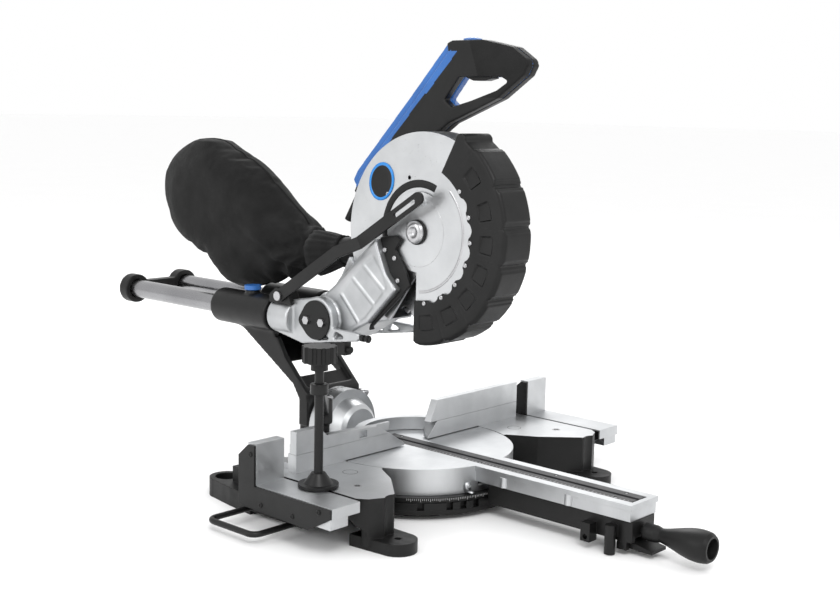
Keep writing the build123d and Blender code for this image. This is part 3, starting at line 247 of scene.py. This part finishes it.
LOOK = {
    "base_casting": "casting", "upper_guard": "guard_skin", "guard_carrier": "guard_skin",
    "fixed_fence": "silver_cast", "motor_stator": "copper", "detent_ring": "black_paint",
    "slide_rails": "rail_steel", "clamp_spindle": "black_paint", "depth_stop": "black_paint",
}


def dress(piece, look):
    """Gives a piece one finish."""
    piece.data.materials.clear()
    piece.data.materials.append(MATERIALS[look])


for node_name, node_object in NODES.items():
    dress(node_object, LOOK.get(node_name, SLOT_OF[node_name]))


# ---------------------------------------------------------------- mesh building blocks
def piece_from(name, shape, look, body, smooth=True):
    """Turns a finished bmesh into a piece that rides on a body."""
    mesh = bpy.data.meshes.new(name)
    bmesh.ops.recalc_face_normals(shape, faces=shape.faces)
    shape.to_mesh(mesh)
    shape.free()
    made = bpy.data.objects.new(name, mesh)
    bpy.context.scene.collection.objects.link(made)
    for face in mesh.polygons:
        face.use_smooth = smooth
    dress(made, look)
    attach(made, body)
    return made


def baked(obj):
    """Applies an object's modifiers to its mesh."""
    graph = bpy.context.evaluated_depsgraph_get()
    mesh = bpy.data.meshes.new_from_object(obj.evaluated_get(graph))
    obj.modifiers.clear()
    obj.data = mesh
    return obj


def cast_copy(node, voxel=0.0018, rounds=4, look=None):
    """A CAD node's shape with the rounded edges of a casting or a moulding."""
    made = bpy.data.objects.new(f"{node}_shape", NODES[node].data.copy())
    bpy.context.scene.collection.objects.link(made)
    remesh = made.modifiers.new("remesh", "REMESH")
    remesh.mode = "VOXEL"
    remesh.voxel_size = voxel
    soften = made.modifiers.new("soften", "SMOOTH")
    soften.factor = 0.5
    soften.iterations = rounds
    baked(made)
    for face in made.data.polygons:
        face.use_smooth = True
    dress(made, look or LOOK.get(node, SLOT_OF[node]))
    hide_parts(node)
    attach(made, BODY_OF[node])
    return made


def islands(node):
    """The lowest and highest corner of each separate solid in a CAD node."""
    shape = bmesh.new()
    shape.from_mesh(NODES[node].data)
    bmesh.ops.remove_doubles(shape, verts=shape.verts, dist=1e-6)
    seen = set()
    found = []
    for start in shape.verts:
        if start in seen:
            continue
        seen.add(start)
        stack = [start]
        group = []
        while stack:
            vert = stack.pop()
            group.append(vert.co.copy())
            for edge in vert.link_edges:
                other = edge.other_vert(vert)
                if other not in seen:
                    seen.add(other)
                    stack.append(other)
        low = Vector(min(p[i] for p in group) for i in range(3))
        high = Vector(max(p[i] for p in group) for i in range(3))
        found.append((low, high))
    shape.free()
    return found


def lathe(shape, centre, axis, profile, steps=32):
    """Revolves (along, radius) points round an axis through a centre."""
    axis = Vector(axis).normalized()
    turn = axis.to_track_quat("Z", "Y").to_matrix()
    rings = []
    for along, radius in profile:
        ring = []
        for step in range(steps):
            angle = 2 * math.pi * step / steps
            spot = turn @ Vector((radius * math.cos(angle), radius * math.sin(angle), along))
            ring.append(shape.verts.new(Vector(centre) + spot))
        rings.append(ring)
    for lower, upper in zip(rings, rings[1:]):
        for step in range(steps):
            after = (step + 1) % steps
            shape.faces.new((lower[step], lower[after], upper[after], upper[step]))
    shape.faces.new(rings[0])
    shape.faces.new(rings[-1])


def screw_head(shape, centre, axis, radius, height, recess=0.45):
    """A pan-head screw with a round recess, its base at the centre."""
    dome = [(0, radius), (height * 0.45, radius), (height * 0.8, radius * 0.88),
            (height, radius * 0.62), (height, radius * recess * 1.1),
            (height * 0.45, radius * recess), (height * 0.45, radius * 0.02)]
    lathe(shape, centre, axis, dome, 24)


def screws_for(node, axis):
    """Replaces a CAD node of plain screw discs by screws with heads."""
    axis = Vector(axis)
    shape = bmesh.new()
    for low, high in islands(node):
        middle = (low + high) / 2
        size = high - low
        radius = sorted(size)[1] / 2
        height = abs(size.dot(axis))
        screw_head(shape, middle - axis * height / 2, axis, radius, height)
    made = piece_from(f"{node}_heads", shape, SLOT_OF[node], BODY_OF[node])
    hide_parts(node)
    return made


def box_between(shape, low, high):
    """Adds a box between two corners."""
    middle = (Vector(low) + Vector(high)) / 2
    size = Vector(high) - Vector(low)
    place = Matrix.Translation(middle) @ Matrix.Diagonal((*size, 1))
    bmesh.ops.create_cube(shape, size=1, matrix=place)


# ---------------------------------------------------------------- castings and mouldings
for node, voxel, rounds in (
    ("handle_left", 0.0015, 8), ("handle_right", 0.0015, 8), ("head_arm", 0.0017, 5),
    ("carriage_bracket", 0.0017, 5), ("bevel_arm", 0.0020, 6), ("clamp_post", 0.0015, 5),
    ("motor_housing", 0.0020, 5), ("rail_end_cap", 0.0015, 6), ("gear_housing", 0.0018, 5),
    ("guard_rear_cover", 0.0012, 5), ("trigger", 0.0010, 6), ("lock_off_button", 0.0008, 5),
    ("lower_guard_shell", 0.0014, 4),
):
    cast_copy(node, voxel, rounds)

# ---------------------------------------------------------------- screws
screws_for("guard_screws", LEFTWARD)
screws_for("head_screws", LEFTWARD)
screws_for("kerf_screws", UPWARD)

PLATE_SCREWS = ((0.004, 0.107), (-0.016, 0.045), (-0.075, 0.044), (-0.122, 0.060))   # y, z
for side_name, outward in (("left", -1), ("right", 1)):
    plate_low, plate_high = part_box(f"extension_plate_{side_name}")
    face_x = plate_low.x + 0.0001 if outward < 0 else plate_high.x - 0.0001
    heads = bmesh.new()
    for screw_y, screw_z in PLATE_SCREWS:
        centre = Vector((face_x, screw_y, screw_z))
        screw_head(heads, centre, (outward, 0, 0), radius=0.0034, height=0.0016)
    piece_from(f"extension_plate_screws_{side_name}", heads, "black_plastic",
               f"extension_{side_name}")

# ---------------------------------------------------------------- badge on the upper guard
BADGE_CENTRE = Vector((GUARD_LOW.x + 0.0077, 0.056, 0.441))
BADGE_LONG = 0.0275       # half of its long axis
BADGE_SHORT = 0.0235      # half of its short axis
BADGE_TILT = math.radians(20)
BADGE_STEPS = 48
BADGE_RIM = ((1.0, 0.0), (1.0, 0.0008), (0.93, 0.0012), (0.86, 0.0009), (0.84, 0.0006))
BADGE_FIELD = ((0.5, 0.0009), (0.02, 0.0010))      # share of the outline, height
badge = bmesh.new()
badge_loops = []
for share, proud in BADGE_RIM + BADGE_FIELD:
    loop = []
    for step in range(BADGE_STEPS):
        angle = 2 * math.pi * step / BADGE_STEPS
        across = share * BADGE_SHORT * math.cos(angle)
        up = share * BADGE_LONG * math.sin(angle)
        y = across * math.cos(BADGE_TILT) - up * math.sin(BADGE_TILT)
        z = across * math.sin(BADGE_TILT) + up * math.cos(BADGE_TILT)
        loop.append(badge.verts.new(BADGE_CENTRE + Vector((-proud, y, z))))
    badge_loops.append(loop)
for lower, upper in zip(badge_loops, badge_loops[1:]):
    for step in range(BADGE_STEPS):
        after = (step + 1) % BADGE_STEPS
        badge.faces.new((lower[step], lower[after], upper[after], upper[step]))
badge.faces.new(badge_loops[-1])
badge_piece = piece_from("guard_badge", badge, "badge_blue", "head")
badge_piece.data.materials.append(MATERIALS["black_plastic"])
rim_faces = (len(BADGE_RIM) - 1) * BADGE_STEPS
for face in badge_piece.data.polygons[rim_faces:]:
    face.material_index = 1

# ---------------------------------------------------------------- scales
ring_low, ring_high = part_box("mitre_scale_ring")
SCALE_TOP = ring_high.z - 0.0008
ticks = bmesh.new()
for degree in range(-52, 53):
    length = 0.0042 if degree % 5 == 0 else 0.0026
    turn = Matrix.Rotation(math.radians(degree), 4, "Z")
    low = Vector((-0.00022, ring_low.y - 0.00015, SCALE_TOP - length))
    high = Vector((0.00022, ring_low.y + 0.0006, SCALE_TOP))
    middle = (low + high) / 2
    place = turn @ Matrix.Translation(middle) @ Matrix.Diagonal((*(high - low), 1))
    bmesh.ops.create_cube(ticks, size=1, matrix=place)
piece_from("mitre_scale_ticks", ticks, "print_white", "base", smooth=False)

insert_low, insert_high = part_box("kerf_insert")
TICK_X = insert_low.x + 0.0012
TICK_APART = 0.006
ticks = bmesh.new()
for step in range(1, 60):
    y = insert_low.y + TICK_APART * step
    length = 0.006 if step % 5 == 0 else 0.0035
    low = (TICK_X, y - 0.0002, insert_high.z - 0.0003)
    high = (TICK_X + length, y + 0.0002, insert_high.z + 0.0001)
    box_between(ticks, low, high)
piece_from("kerf_scale_ticks", ticks, "print_white", "turntable", smooth=False)

BEVEL_SCALE_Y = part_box("bevel_arm")[0].y - 0.009
BEVEL_SCALE_R = 0.0559
TICK_SIDE = 0.0006
ticks = bmesh.new()
for degree in range(-50, 51, 5):
    turn = Matrix.Rotation(math.radians(degree), 4, "Y")
    length = 0.0105 if degree % 15 == 0 else 0.0045
    box = Matrix.Diagonal((TICK_SIDE, length, TICK_SIDE, 1))
    outward = Matrix.Translation((0, 0, BEVEL_SCALE_R))
    place = Matrix.Translation((0, BEVEL_SCALE_Y, TABLE_Z)) @ turn @ outward @ box
    bmesh.ops.create_cube(ticks, size=1, matrix=place)
piece_from("bevel_scale_ticks", ticks, "black_plastic", "turntable", smooth=False)


# ---------------------------------------------------------------- lower guard's pads
def guard_point(radius, degrees, x):
    """A point round the arbor, its angle counted from the front upwards."""
    angle = math.radians(degrees)
    return Vector((x, ARBOR.y - radius * math.cos(angle), ARBOR.z + radius * math.sin(angle)))


def arc_band(shape, span, profile, steps=72):
    """A band round the blade's axis, from (radius, x) points."""
    rows = []
    for step in range(steps + 1):
        angle = span[0] + (span[1] - span[0]) * step / steps
        rows.append([shape.verts.new(guard_point(radius, angle, x)) for radius, x in profile])
    for row, after in zip(rows, rows[1:]):
        for k in range(len(profile) - 1):
            shape.faces.new((row[k], row[k + 1], after[k + 1], after[k]))


WALL_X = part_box("lower_guard_shell")[0].x
LUG_ANGLES = (-90.0, -69.0, -50.0, -31.5, -13.0, 6.0, 27.0, 50.0)
WINDOW_INNER = 0.1165
WINDOW_OUTER = 0.1365
WINDOW_HALF = 5           # degrees to each side of a pad's middle
WINDOW_SHALLOW = WALL_X + 0.0004
WINDOW_DEEP = WALL_X + 0.0029
WINDOW_BACK = WINDOW_DEEP + 0.0003
WINDOW_RIM = ((WINDOW_INNER, -1), (WINDOW_OUTER, -1), (WINDOW_OUTER, 1), (WINDOW_INNER, 1))
BLOCK_FACES = ((0, 1, 2, 3), (4, 5, 6, 7), (0, 1, 5, 4), (1, 2, 6, 5), (2, 3, 7, 6), (3, 0, 4, 7))
facets = bmesh.new()
for start, end in zip(LUG_ANGLES, LUG_ANGLES[1:]):
    middle = (start + end) / 2
    corners = []
    for radius, side in WINDOW_RIM:
        x = WINDOW_SHALLOW if side < 0 else WINDOW_DEEP
        corners.append(facets.verts.new(guard_point(radius, middle + side * WINDOW_HALF, x)))
    for radius, side in WINDOW_RIM:
        point = guard_point(radius, middle + side * WINDOW_HALF, WINDOW_BACK)
        corners.append(facets.verts.new(point))
    for face in BLOCK_FACES:
        facets.faces.new([corners[k] for k in face])
piece_from("lower_guard_facets", facets, "black_plastic", "lower_guard", smooth=False)

# ---------------------------------------------------------------- small fittings, and painted shade over the guard's slot
pointer = bmesh.new()
box_between(pointer, (-0.048, -0.1365, 0.0345), (-0.038, -0.1325, 0.0465))
box_between(pointer, (-0.046, -0.1445, 0.0322), (-0.040, -0.1325, 0.0350))
bmesh.ops.bevel(pointer, geom=pointer.edges[:], offset=0.0006, segments=2, affect="EDGES")
screw_head(pointer, Vector((-0.043, -0.1363, 0.0415)), FORWARD, radius=0.0032, height=0.0018)
piece_from("mitre_pointer", pointer, "silver_cast", "turntable")

STOP_Y = 0.146
STOP_FOOT = (0.010, 0.014, 0.006)
STOP_SCREW = [(0, 0.0030), (0.0005, 0.0038), (0.016, 0.0038), (0.0165, 0.003)]
stops = bmesh.new()
for degree in (-38, 40):
    turn = Matrix.Rotation(math.radians(degree), 4, "Y")
    foot = Matrix.Translation((0, STOP_Y, TABLE_Z)) @ turn
    block = foot @ Matrix.Translation((0, 0, 0.0575)) @ Matrix.Diagonal((*STOP_FOOT, 1))
    bmesh.ops.create_cube(stops, size=1, matrix=block)
    lathe(stops, foot @ Vector((0, -0.009, 0.0600)), REARWARD, STOP_SCREW, 20)
piece_from("bevel_stops", stops, "steel", "turntable")

PLUG_OUTLINE = [(-0.001, 0.0098), (0.00012, 0.0098), (0.00012, 0.0104), (-0.001, 0.0104)]
BUSH_BORE = [(-0.001, 0.0038), (0.00012, 0.0038), (0.00012, 0.001), (-0.001, 0.001)]
BUSH_RIM = [(-0.001, 0.0038), (0.0003, 0.0040), (0.0003, 0.0058), (-0.001, 0.0060)]
marks = bmesh.new()
rims = bmesh.new()
for side in (-1, 1):
    lathe(marks, Vector((side * 0.175, -0.042, TABLE_Z)), UPWARD, PLUG_OUTLINE, 40)
    hole = Vector((side * 0.213, -0.093, TABLE_Z))
    lathe(marks, hole, UPWARD, BUSH_BORE, 24)
    lathe(rims, hole, UPWARD, BUSH_RIM, 24)
piece_from("table_marks", marks, "black_paint", "base")
piece_from("table_bush_rims", rims, "steel", "base")

CARRIER_X = -0.0270       # outer face of the guard carrier
HUB_X = -0.0293           # near the top of its hub
CARRIER_GROOVE = [(-0.0004, 0.0478), (0.00015, 0.0480), (0.00015, 0.0486), (-0.0004, 0.0488)]
CARRIER_RIDGE = [
    (0.0806, -0.0268), (0.0820, -0.0276), (0.0830, -0.0278), (0.0840, -0.0276), (0.0854, -0.0268),
]
ring = bmesh.new()
lathe(ring, Vector((CARRIER_X, ARBOR.y, ARBOR.z)), LEFTWARD, CARRIER_GROOVE, 72)
arc_band(ring, (-86, 46), CARRIER_RIDGE)
piece_from("carrier_ring", ring, "steel", "lower_guard")

HUB_COLLAR = [
    (-0.0026, 0.0176), (0.0004, 0.0176), (0.0012, 0.0166), (0.0012, 0.0142), (0.0006, 0.0132),
    (0.0003, 0.0121),
]
collar = bmesh.new()
lathe(collar, Vector((HUB_X, ARBOR.y, ARBOR.z)), LEFTWARD, HUB_COLLAR, 48)
piece_from("carrier_collar", collar, "black_plastic", "lower_guard")

# A black arc laid over the upper guard's slot and on towards the rear cover: painted shade, standing in for the
# dark seen through the slot.
SLOT_SHADE_ARC = [
    (0.0612, -0.0219), (0.0618, -0.0226), (0.0665, -0.0228), (0.0712, -0.0226), (0.0718, -0.0219),
]
slot_shade = bmesh.new()
arc_band(slot_shade, (62, 190), SLOT_SHADE_ARC)
piece_from("guard_slot_shade", slot_shade, "black_plastic", "head")

# ---------------------------------------------------------------- handle grip
GAP_MIDDLE = Vector((0.042, -0.065, 0.571))
HANDLE_TOP = 0.638
GRIP_START_Y = -0.055     # rear end of the rubber at the top of the handle
GRIP_LOW_Z = 0.560
STRIP_TOP_Z = 0.624       # the blue strip ends below the handle's top
STRIP_STEP_Z = 0.565      # and is wider above this step
STRIP_WIDE = 0.0105
STRIP_NARROW = 0.0080


def behind_spine(point):
    """How far a point stands behind the line where the two halves meet, along the spine."""
    return ((point.y - 0.044) * 0.113 + (point.z - 0.556) * 0.108) / 0.1563


grip_shape = bpy.data.objects["handle_left_shape"]
grip_shape.data.materials.append(MATERIALS["grip_rubber"])
grip_shape.data.materials.append(MATERIALS["blue_plastic"])
for face in grip_shape.data.polygons:
    grip_end = GRIP_START_Y - 0.35 * (HANDLE_TOP - face.center.z)
    if face.center.y < grip_end and face.center.z > GRIP_LOW_Z:
        face.material_index = 1
    strip = STRIP_WIDE if face.center.z > STRIP_STEP_Z else STRIP_NARROW
    if behind_spine(face.center) > -strip and face.center.z < STRIP_TOP_Z:
        face.material_index = 2
far_shape = bpy.data.objects["handle_right_shape"]
far_shape.data.materials.append(MATERIALS["black_plastic"])
for face in far_shape.data.polygons:
    toward_gap = GAP_MIDDLE - face.center
    toward_gap.x = 0
    on_edge = abs(face.normal.x) < 0.9
    facing_out = face.normal.dot(toward_gap.normalized()) < -0.2
    below_grip = face.center.z < 0.535
    if on_edge and (facing_out or below_grip) and behind_spine(face.center) < -0.006:
        face.material_index = 1

# ---------------------------------------------------------------- dust bag
BAG_LOW, BAG_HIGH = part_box("dust_bag")
BAG_MIDDLE = (BAG_LOW + BAG_HIGH) / 2
NECK = Vector((BAG_MIDDLE.x, BAG_LOW.y + 0.02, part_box("dust_port")[0].z + 0.022))
BAG_FRAMES = 20
BAG_MOVE = 0.010          # the most that the pressure may move a point
BAG_FLOOR = BAG_LOW.z - 0.009
BAG_CROWN = BAG_HIGH.z - 0.010
LOW_BAND = 0.060          # height of the belly that hangs lower
CREASES = [               # ends in (y, z), and depth
    (Vector((0.326, 0.330)), Vector((0.196, 0.335)), 0.0045),
    (Vector((0.326, 0.306)), Vector((0.206, 0.343)), 0.0035),
    (Vector((0.250, 0.280)), Vector((0.200, 0.332)), 0.0040),
    (Vector((0.241, 0.403)), Vector((0.189, 0.352)), 0.0040),
    (Vector((0.362, 0.364)), Vector((0.265, 0.298)), 0.0030),
]


def crease_at(point):
    """The height of the sewn-in creases at a point on the bag's left side."""
    total = 0.0
    for start, end, depth in CREASES:
        along = (point.yz - start).dot(end - start) / (end - start).length_squared
        along = min(max(along, 0.0), 1.0)
        gap = (point.yz - start - (end - start) * along).length
        fade = 0.25 + 0.75 * along
        total -= depth * fade * math.exp(-(gap / 0.0045) ** 2)
        total += 0.5 * depth * fade * math.exp(-((gap - 0.012) / 0.0070) ** 2)
    return total


bag = bpy.data.objects.new("dust_bag_cloth", NODES["dust_bag"].data.copy())
bpy.context.scene.collection.objects.link(bag)
for vert in bag.data.vertices:
    vert.co = BAG_MIDDLE + (vert.co - BAG_MIDDLE) * 0.985
remesh = bag.modifiers.new("remesh", "REMESH")
remesh.mode = "VOXEL"
remesh.voxel_size = 0.006
baked(bag)
rest_shape = [vert.co.copy() for vert in bag.data.vertices]
held = bag.vertex_groups.new(name="held")
held.add([v.index for v in bag.data.vertices if (v.co - NECK).length < 0.035], 1.0, "ADD")
cloth = bag.modifiers.new("cloth", "CLOTH")
cloth.settings.quality = 6
cloth.settings.mass = 0.25
cloth.settings.tension_stiffness = 12
cloth.settings.compression_stiffness = 6
cloth.settings.bending_stiffness = 0.25
cloth.settings.use_pressure = True
cloth.settings.uniform_pressure_force = 3.0
cloth.settings.shrink_min = -0.05
cloth.settings.vertex_group_mass = "held"
cloth.settings.effector_weights.gravity = 0
cloth.point_cache.frame_start = 1
cloth.point_cache.frame_end = BAG_FRAMES
for frame_number in range(1, BAG_FRAMES + 1):
    bpy.context.scene.frame_set(frame_number)
baked(bag)
bpy.context.scene.frame_set(1)
for vert, start in zip(bag.data.vertices, rest_shape):
    step = vert.co - start
    if step.length > BAG_MOVE:
        vert.co = start + step * (BAG_MOVE / step.length)
bag.data.update()
normals = [vert.normal.copy() for vert in bag.data.vertices]
for vert, normal in zip(bag.data.vertices, normals):
    away = vert.co - NECK
    reach = away.length
    spin = math.atan2(away.z, away.y)
    side = min(max(away.x / 0.020, -1.0), 1.0)
    pleat = math.sin(spin * 16 + side * 0.8 + 6 * noise.noise(vert.co * 9))
    fold = math.exp(-max(reach - 0.05, 0) / 0.085) * 0.0042 * pleat
    long_fold = noise.noise(Vector((spin * 3.1, side * 2.0, reach * 4.0))) * 0.0028
    long_fold *= min(reach / 0.12, 1.0)
    crease = crease_at(vert.co) if away.x < 0.004 else 0.0
    vert.co += normal * (fold + long_fold + crease - 0.003)
subdivide = bag.modifiers.new("subdivide", "SUBSURF")
subdivide.levels = subdivide.render_levels = 1
baked(bag)
for vert in bag.data.vertices:
    low_share = min(max((BAG_LOW.z + LOW_BAND - vert.co.z) / LOW_BAND, 0.0), 1.0)
    low_share = low_share * low_share * (3 - 2 * low_share)
    if (vert.co - NECK).length > 0.060:
        vert.co.z -= 0.015 * low_share
    if vert.co.z > BAG_CROWN:
        vert.co.z = BAG_CROWN + (vert.co.z - BAG_CROWN) * 0.35
    vert.co.z = max(vert.co.z, BAG_FLOOR)
for face in bag.data.polygons:
    face.use_smooth = True
dress(bag, "bag_fabric")
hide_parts("dust_bag")
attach(bag, "head")


def tube_along(name, points, radius, look, body):
    """A round welt that follows a list of points."""
    curve = bpy.data.curves.new(name, "CURVE")
    curve.dimensions = "3D"
    curve.bevel_depth = radius
    curve.bevel_resolution = 3
    line = curve.splines.new("POLY")
    line.points.add(len(points) - 1)
    for spot, point in zip(line.points, points):
        spot.co = (*point, 1)
    holder = bpy.data.objects.new(name + "_line", curve)
    bpy.context.scene.collection.objects.link(holder)
    graph = bpy.context.evaluated_depsgraph_get()
    mesh = bpy.data.meshes.new_from_object(holder.evaluated_get(graph))
    bpy.data.objects.remove(holder)
    made = bpy.data.objects.new(name, mesh)
    bpy.context.scene.collection.objects.link(made)
    for face in mesh.polygons:
        face.use_smooth = True
    dress(made, look)
    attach(made, body)
    return made


# The welt runs where the bag's middle plane cuts it.
cut = bmesh.new()
cut.from_mesh(bag.data)
section = bmesh.ops.bisect_plane(
    cut, geom=cut.verts[:] + cut.edges[:] + cut.faces[:], dist=1e-6,
    plane_co=BAG_MIDDLE, plane_no=(1, 0, 0),
)["geom_cut"]
rim = {e for e in section if isinstance(e, bmesh.types.BMEdge)}
seam = []
if rim:
    edge = min(rim, key=lambda e: tuple(e.verts[0].co) + tuple(e.verts[1].co))
    vert = edge.verts[0]
    while edge is not None:
        rim.discard(edge)
        vert = edge.other_vert(vert)
        seam.append(vert.co.copy())
        edge = next((e for e in vert.link_edges if e in rim), None)
cut.free()
seam = [p for p in seam if (p - NECK).length > 0.045][::2]
start_at = max(range(len(seam)), key=lambda k: (seam[k] - seam[k - 1]).length)
seam = seam[start_at:] + seam[:start_at]
tube_along("dust_bag_seam", seam, 0.0016, "bag_fabric", "head")

CUFF_AXIS = Vector((0, 0.99, -0.14))
CUFF_AT = Vector((0.008, 0.200, 0.3252))
CUFF = [
    (-0.044, 0.0206), (-0.044, 0.0226), (-0.041, 0.0238), (-0.036, 0.0232), (-0.026, 0.0262),
    (-0.012, 0.0300), (0.002, 0.0330), (0.012, 0.0345), (0.014, 0.0236),
]
cuff = bmesh.new()
lathe(cuff, CUFF_AT, CUFF_AXIS, CUFF, 96)
for vert in cuff.verts:
    off_axis = vert.co - CUFF_AT
    off_axis -= CUFF_AXIS * (off_axis.dot(CUFF_AXIS) / CUFF_AXIS.length_squared)
    turn = math.atan2(off_axis.z, off_axis.x)
    vert.co += off_axis * (0.016 * math.sin(18 * turn) + 0.028 * math.sin(7 * turn + 1.0))
piece_from("dust_bag_band", cuff, "bag_fabric", "head")

# ---------------------------------------------------------------- motor vents
VENT_RIBS = 14
VENT_RADIUS = 0.024
VENT_RIB = (0.0016, 0.004, 0.016)
motor_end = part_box("motor_housing")[1].x - MOTOR.x - 0.0006
vents = bmesh.new()
for rib in range(VENT_RIBS):
    angle = 2 * math.pi * rib / VENT_RIBS
    spin = Matrix.Translation(MOTOR) @ Matrix.Rotation(angle, 4, "X")
    outward = Matrix.Translation((motor_end, 0, VENT_RADIUS))
    place = spin @ outward @ Matrix.Diagonal((*VENT_RIB, 1))
    bmesh.ops.create_cube(vents, size=1, matrix=place)
bmesh.ops.bevel(vents, geom=vents.edges[:], offset=0.0005, segments=2, affect="EDGES")
piece_from("motor_vent_ribs", vents, "black_plastic", "head", smooth=False)

# ---------------------------------------------------------------- floor, light and camera
FLOOR_HALF = 40.0
floor_mesh = bpy.data.meshes.new("floor")
floor_mesh.from_pydata(
    [(-FLOOR_HALF, -FLOOR_HALF, 0), (FLOOR_HALF, -FLOOR_HALF, 0),
     (FLOOR_HALF, FLOOR_HALF, 0), (-FLOOR_HALF, FLOOR_HALF, 0)], [], [(0, 1, 2, 3)],
)
floor = bpy.data.objects.new("floor", floor_mesh)
bpy.context.scene.collection.objects.link(floor)
floor_paint, floor_tree, floor_shader = finish_of("pale_floor")
floor_tree.links.new(
    tinted(floor_tree, noise_at(floor_tree, 3, 2), (0.975, 0.975, 0.975), (0.985, 0.985, 0.985)),
    floor_shader.inputs["Base Color"],
)
floor_shader.inputs["Roughness"].default_value = 0.9
floor.data.materials.append(floor_paint)

world = bpy.data.worlds.new("studio")
bpy.context.scene.world = world
world.use_nodes = True
world.node_tree.nodes["Background"].inputs["Color"].default_value = (1, 1, 1, 1)
world.node_tree.nodes["Background"].inputs["Strength"].default_value = 1.0


def softbox(name, place, target, size, power):
    """A large area light aimed at a point."""
    light = bpy.data.lights.new(name, "AREA")
    light.shape = "RECTANGLE"
    light.size, light.size_y = size
    light.energy = power
    holder = bpy.data.objects.new(name, light)
    holder.location = place
    holder.rotation_mode = "QUATERNION"
    holder.rotation_quaternion = (Vector(target) - Vector(place)).to_track_quat("-Z", "Y")
    bpy.context.scene.collection.objects.link(holder)


softbox("key", (-1.6, -1.9, 2.6), (0, 0, 0.3), (1.4, 1.0), 42)
softbox("fill", (-2.6, 0.9, 1.4), (0, 0.1, 0.3), (1.0, 1.6), 16)
softbox("rim", (1.8, 1.6, 2.2), (0, 0, 0.3), (1.6, 1.0), 30)

CAMERA_AT = Vector((-1.34601, -1.21442, 0.54627))
CAMERA_YAW = 0.738959
CAMERA_PITCH = -0.151379
CAMERA_ROLL = 0.0206617
FOCAL_SHARE = 1.53958     # focal length in image widths
CENTRE_X = 0.491360       # the lens axis, as a share of the image's width
CENTRE_Y = 0.506542       # and of its height
ahead = Vector((
    math.cos(CAMERA_PITCH) * math.cos(CAMERA_YAW),
    math.cos(CAMERA_PITCH) * math.sin(CAMERA_YAW),
    math.sin(CAMERA_PITCH),
))
level = ahead.cross(Vector((0, 0, 1))).normalized()
upward = level.cross(ahead)
right = level * math.cos(CAMERA_ROLL) + upward * math.sin(CAMERA_ROLL)
upward = upward * math.cos(CAMERA_ROLL) - level * math.sin(CAMERA_ROLL)
camera_data = bpy.data.cameras.new("camera")
camera = bpy.data.objects.new("camera", camera_data)
camera.matrix_world = Matrix.Translation(CAMERA_AT) @ Matrix(
    (right, upward, -ahead)
).transposed().to_4x4()
camera_data.sensor_width = 36
camera_data.lens = FOCAL_SHARE * camera_data.sensor_width
camera_data.shift_x = 0.5 - CENTRE_X
camera_data.shift_y = (CENTRE_Y - 0.5) * 600 / 840
camera_data.clip_end = 200
bpy.context.scene.collection.objects.link(camera)
bpy.context.scene.camera = camera
bpy.context.scene.view_settings.view_transform = "Standard"
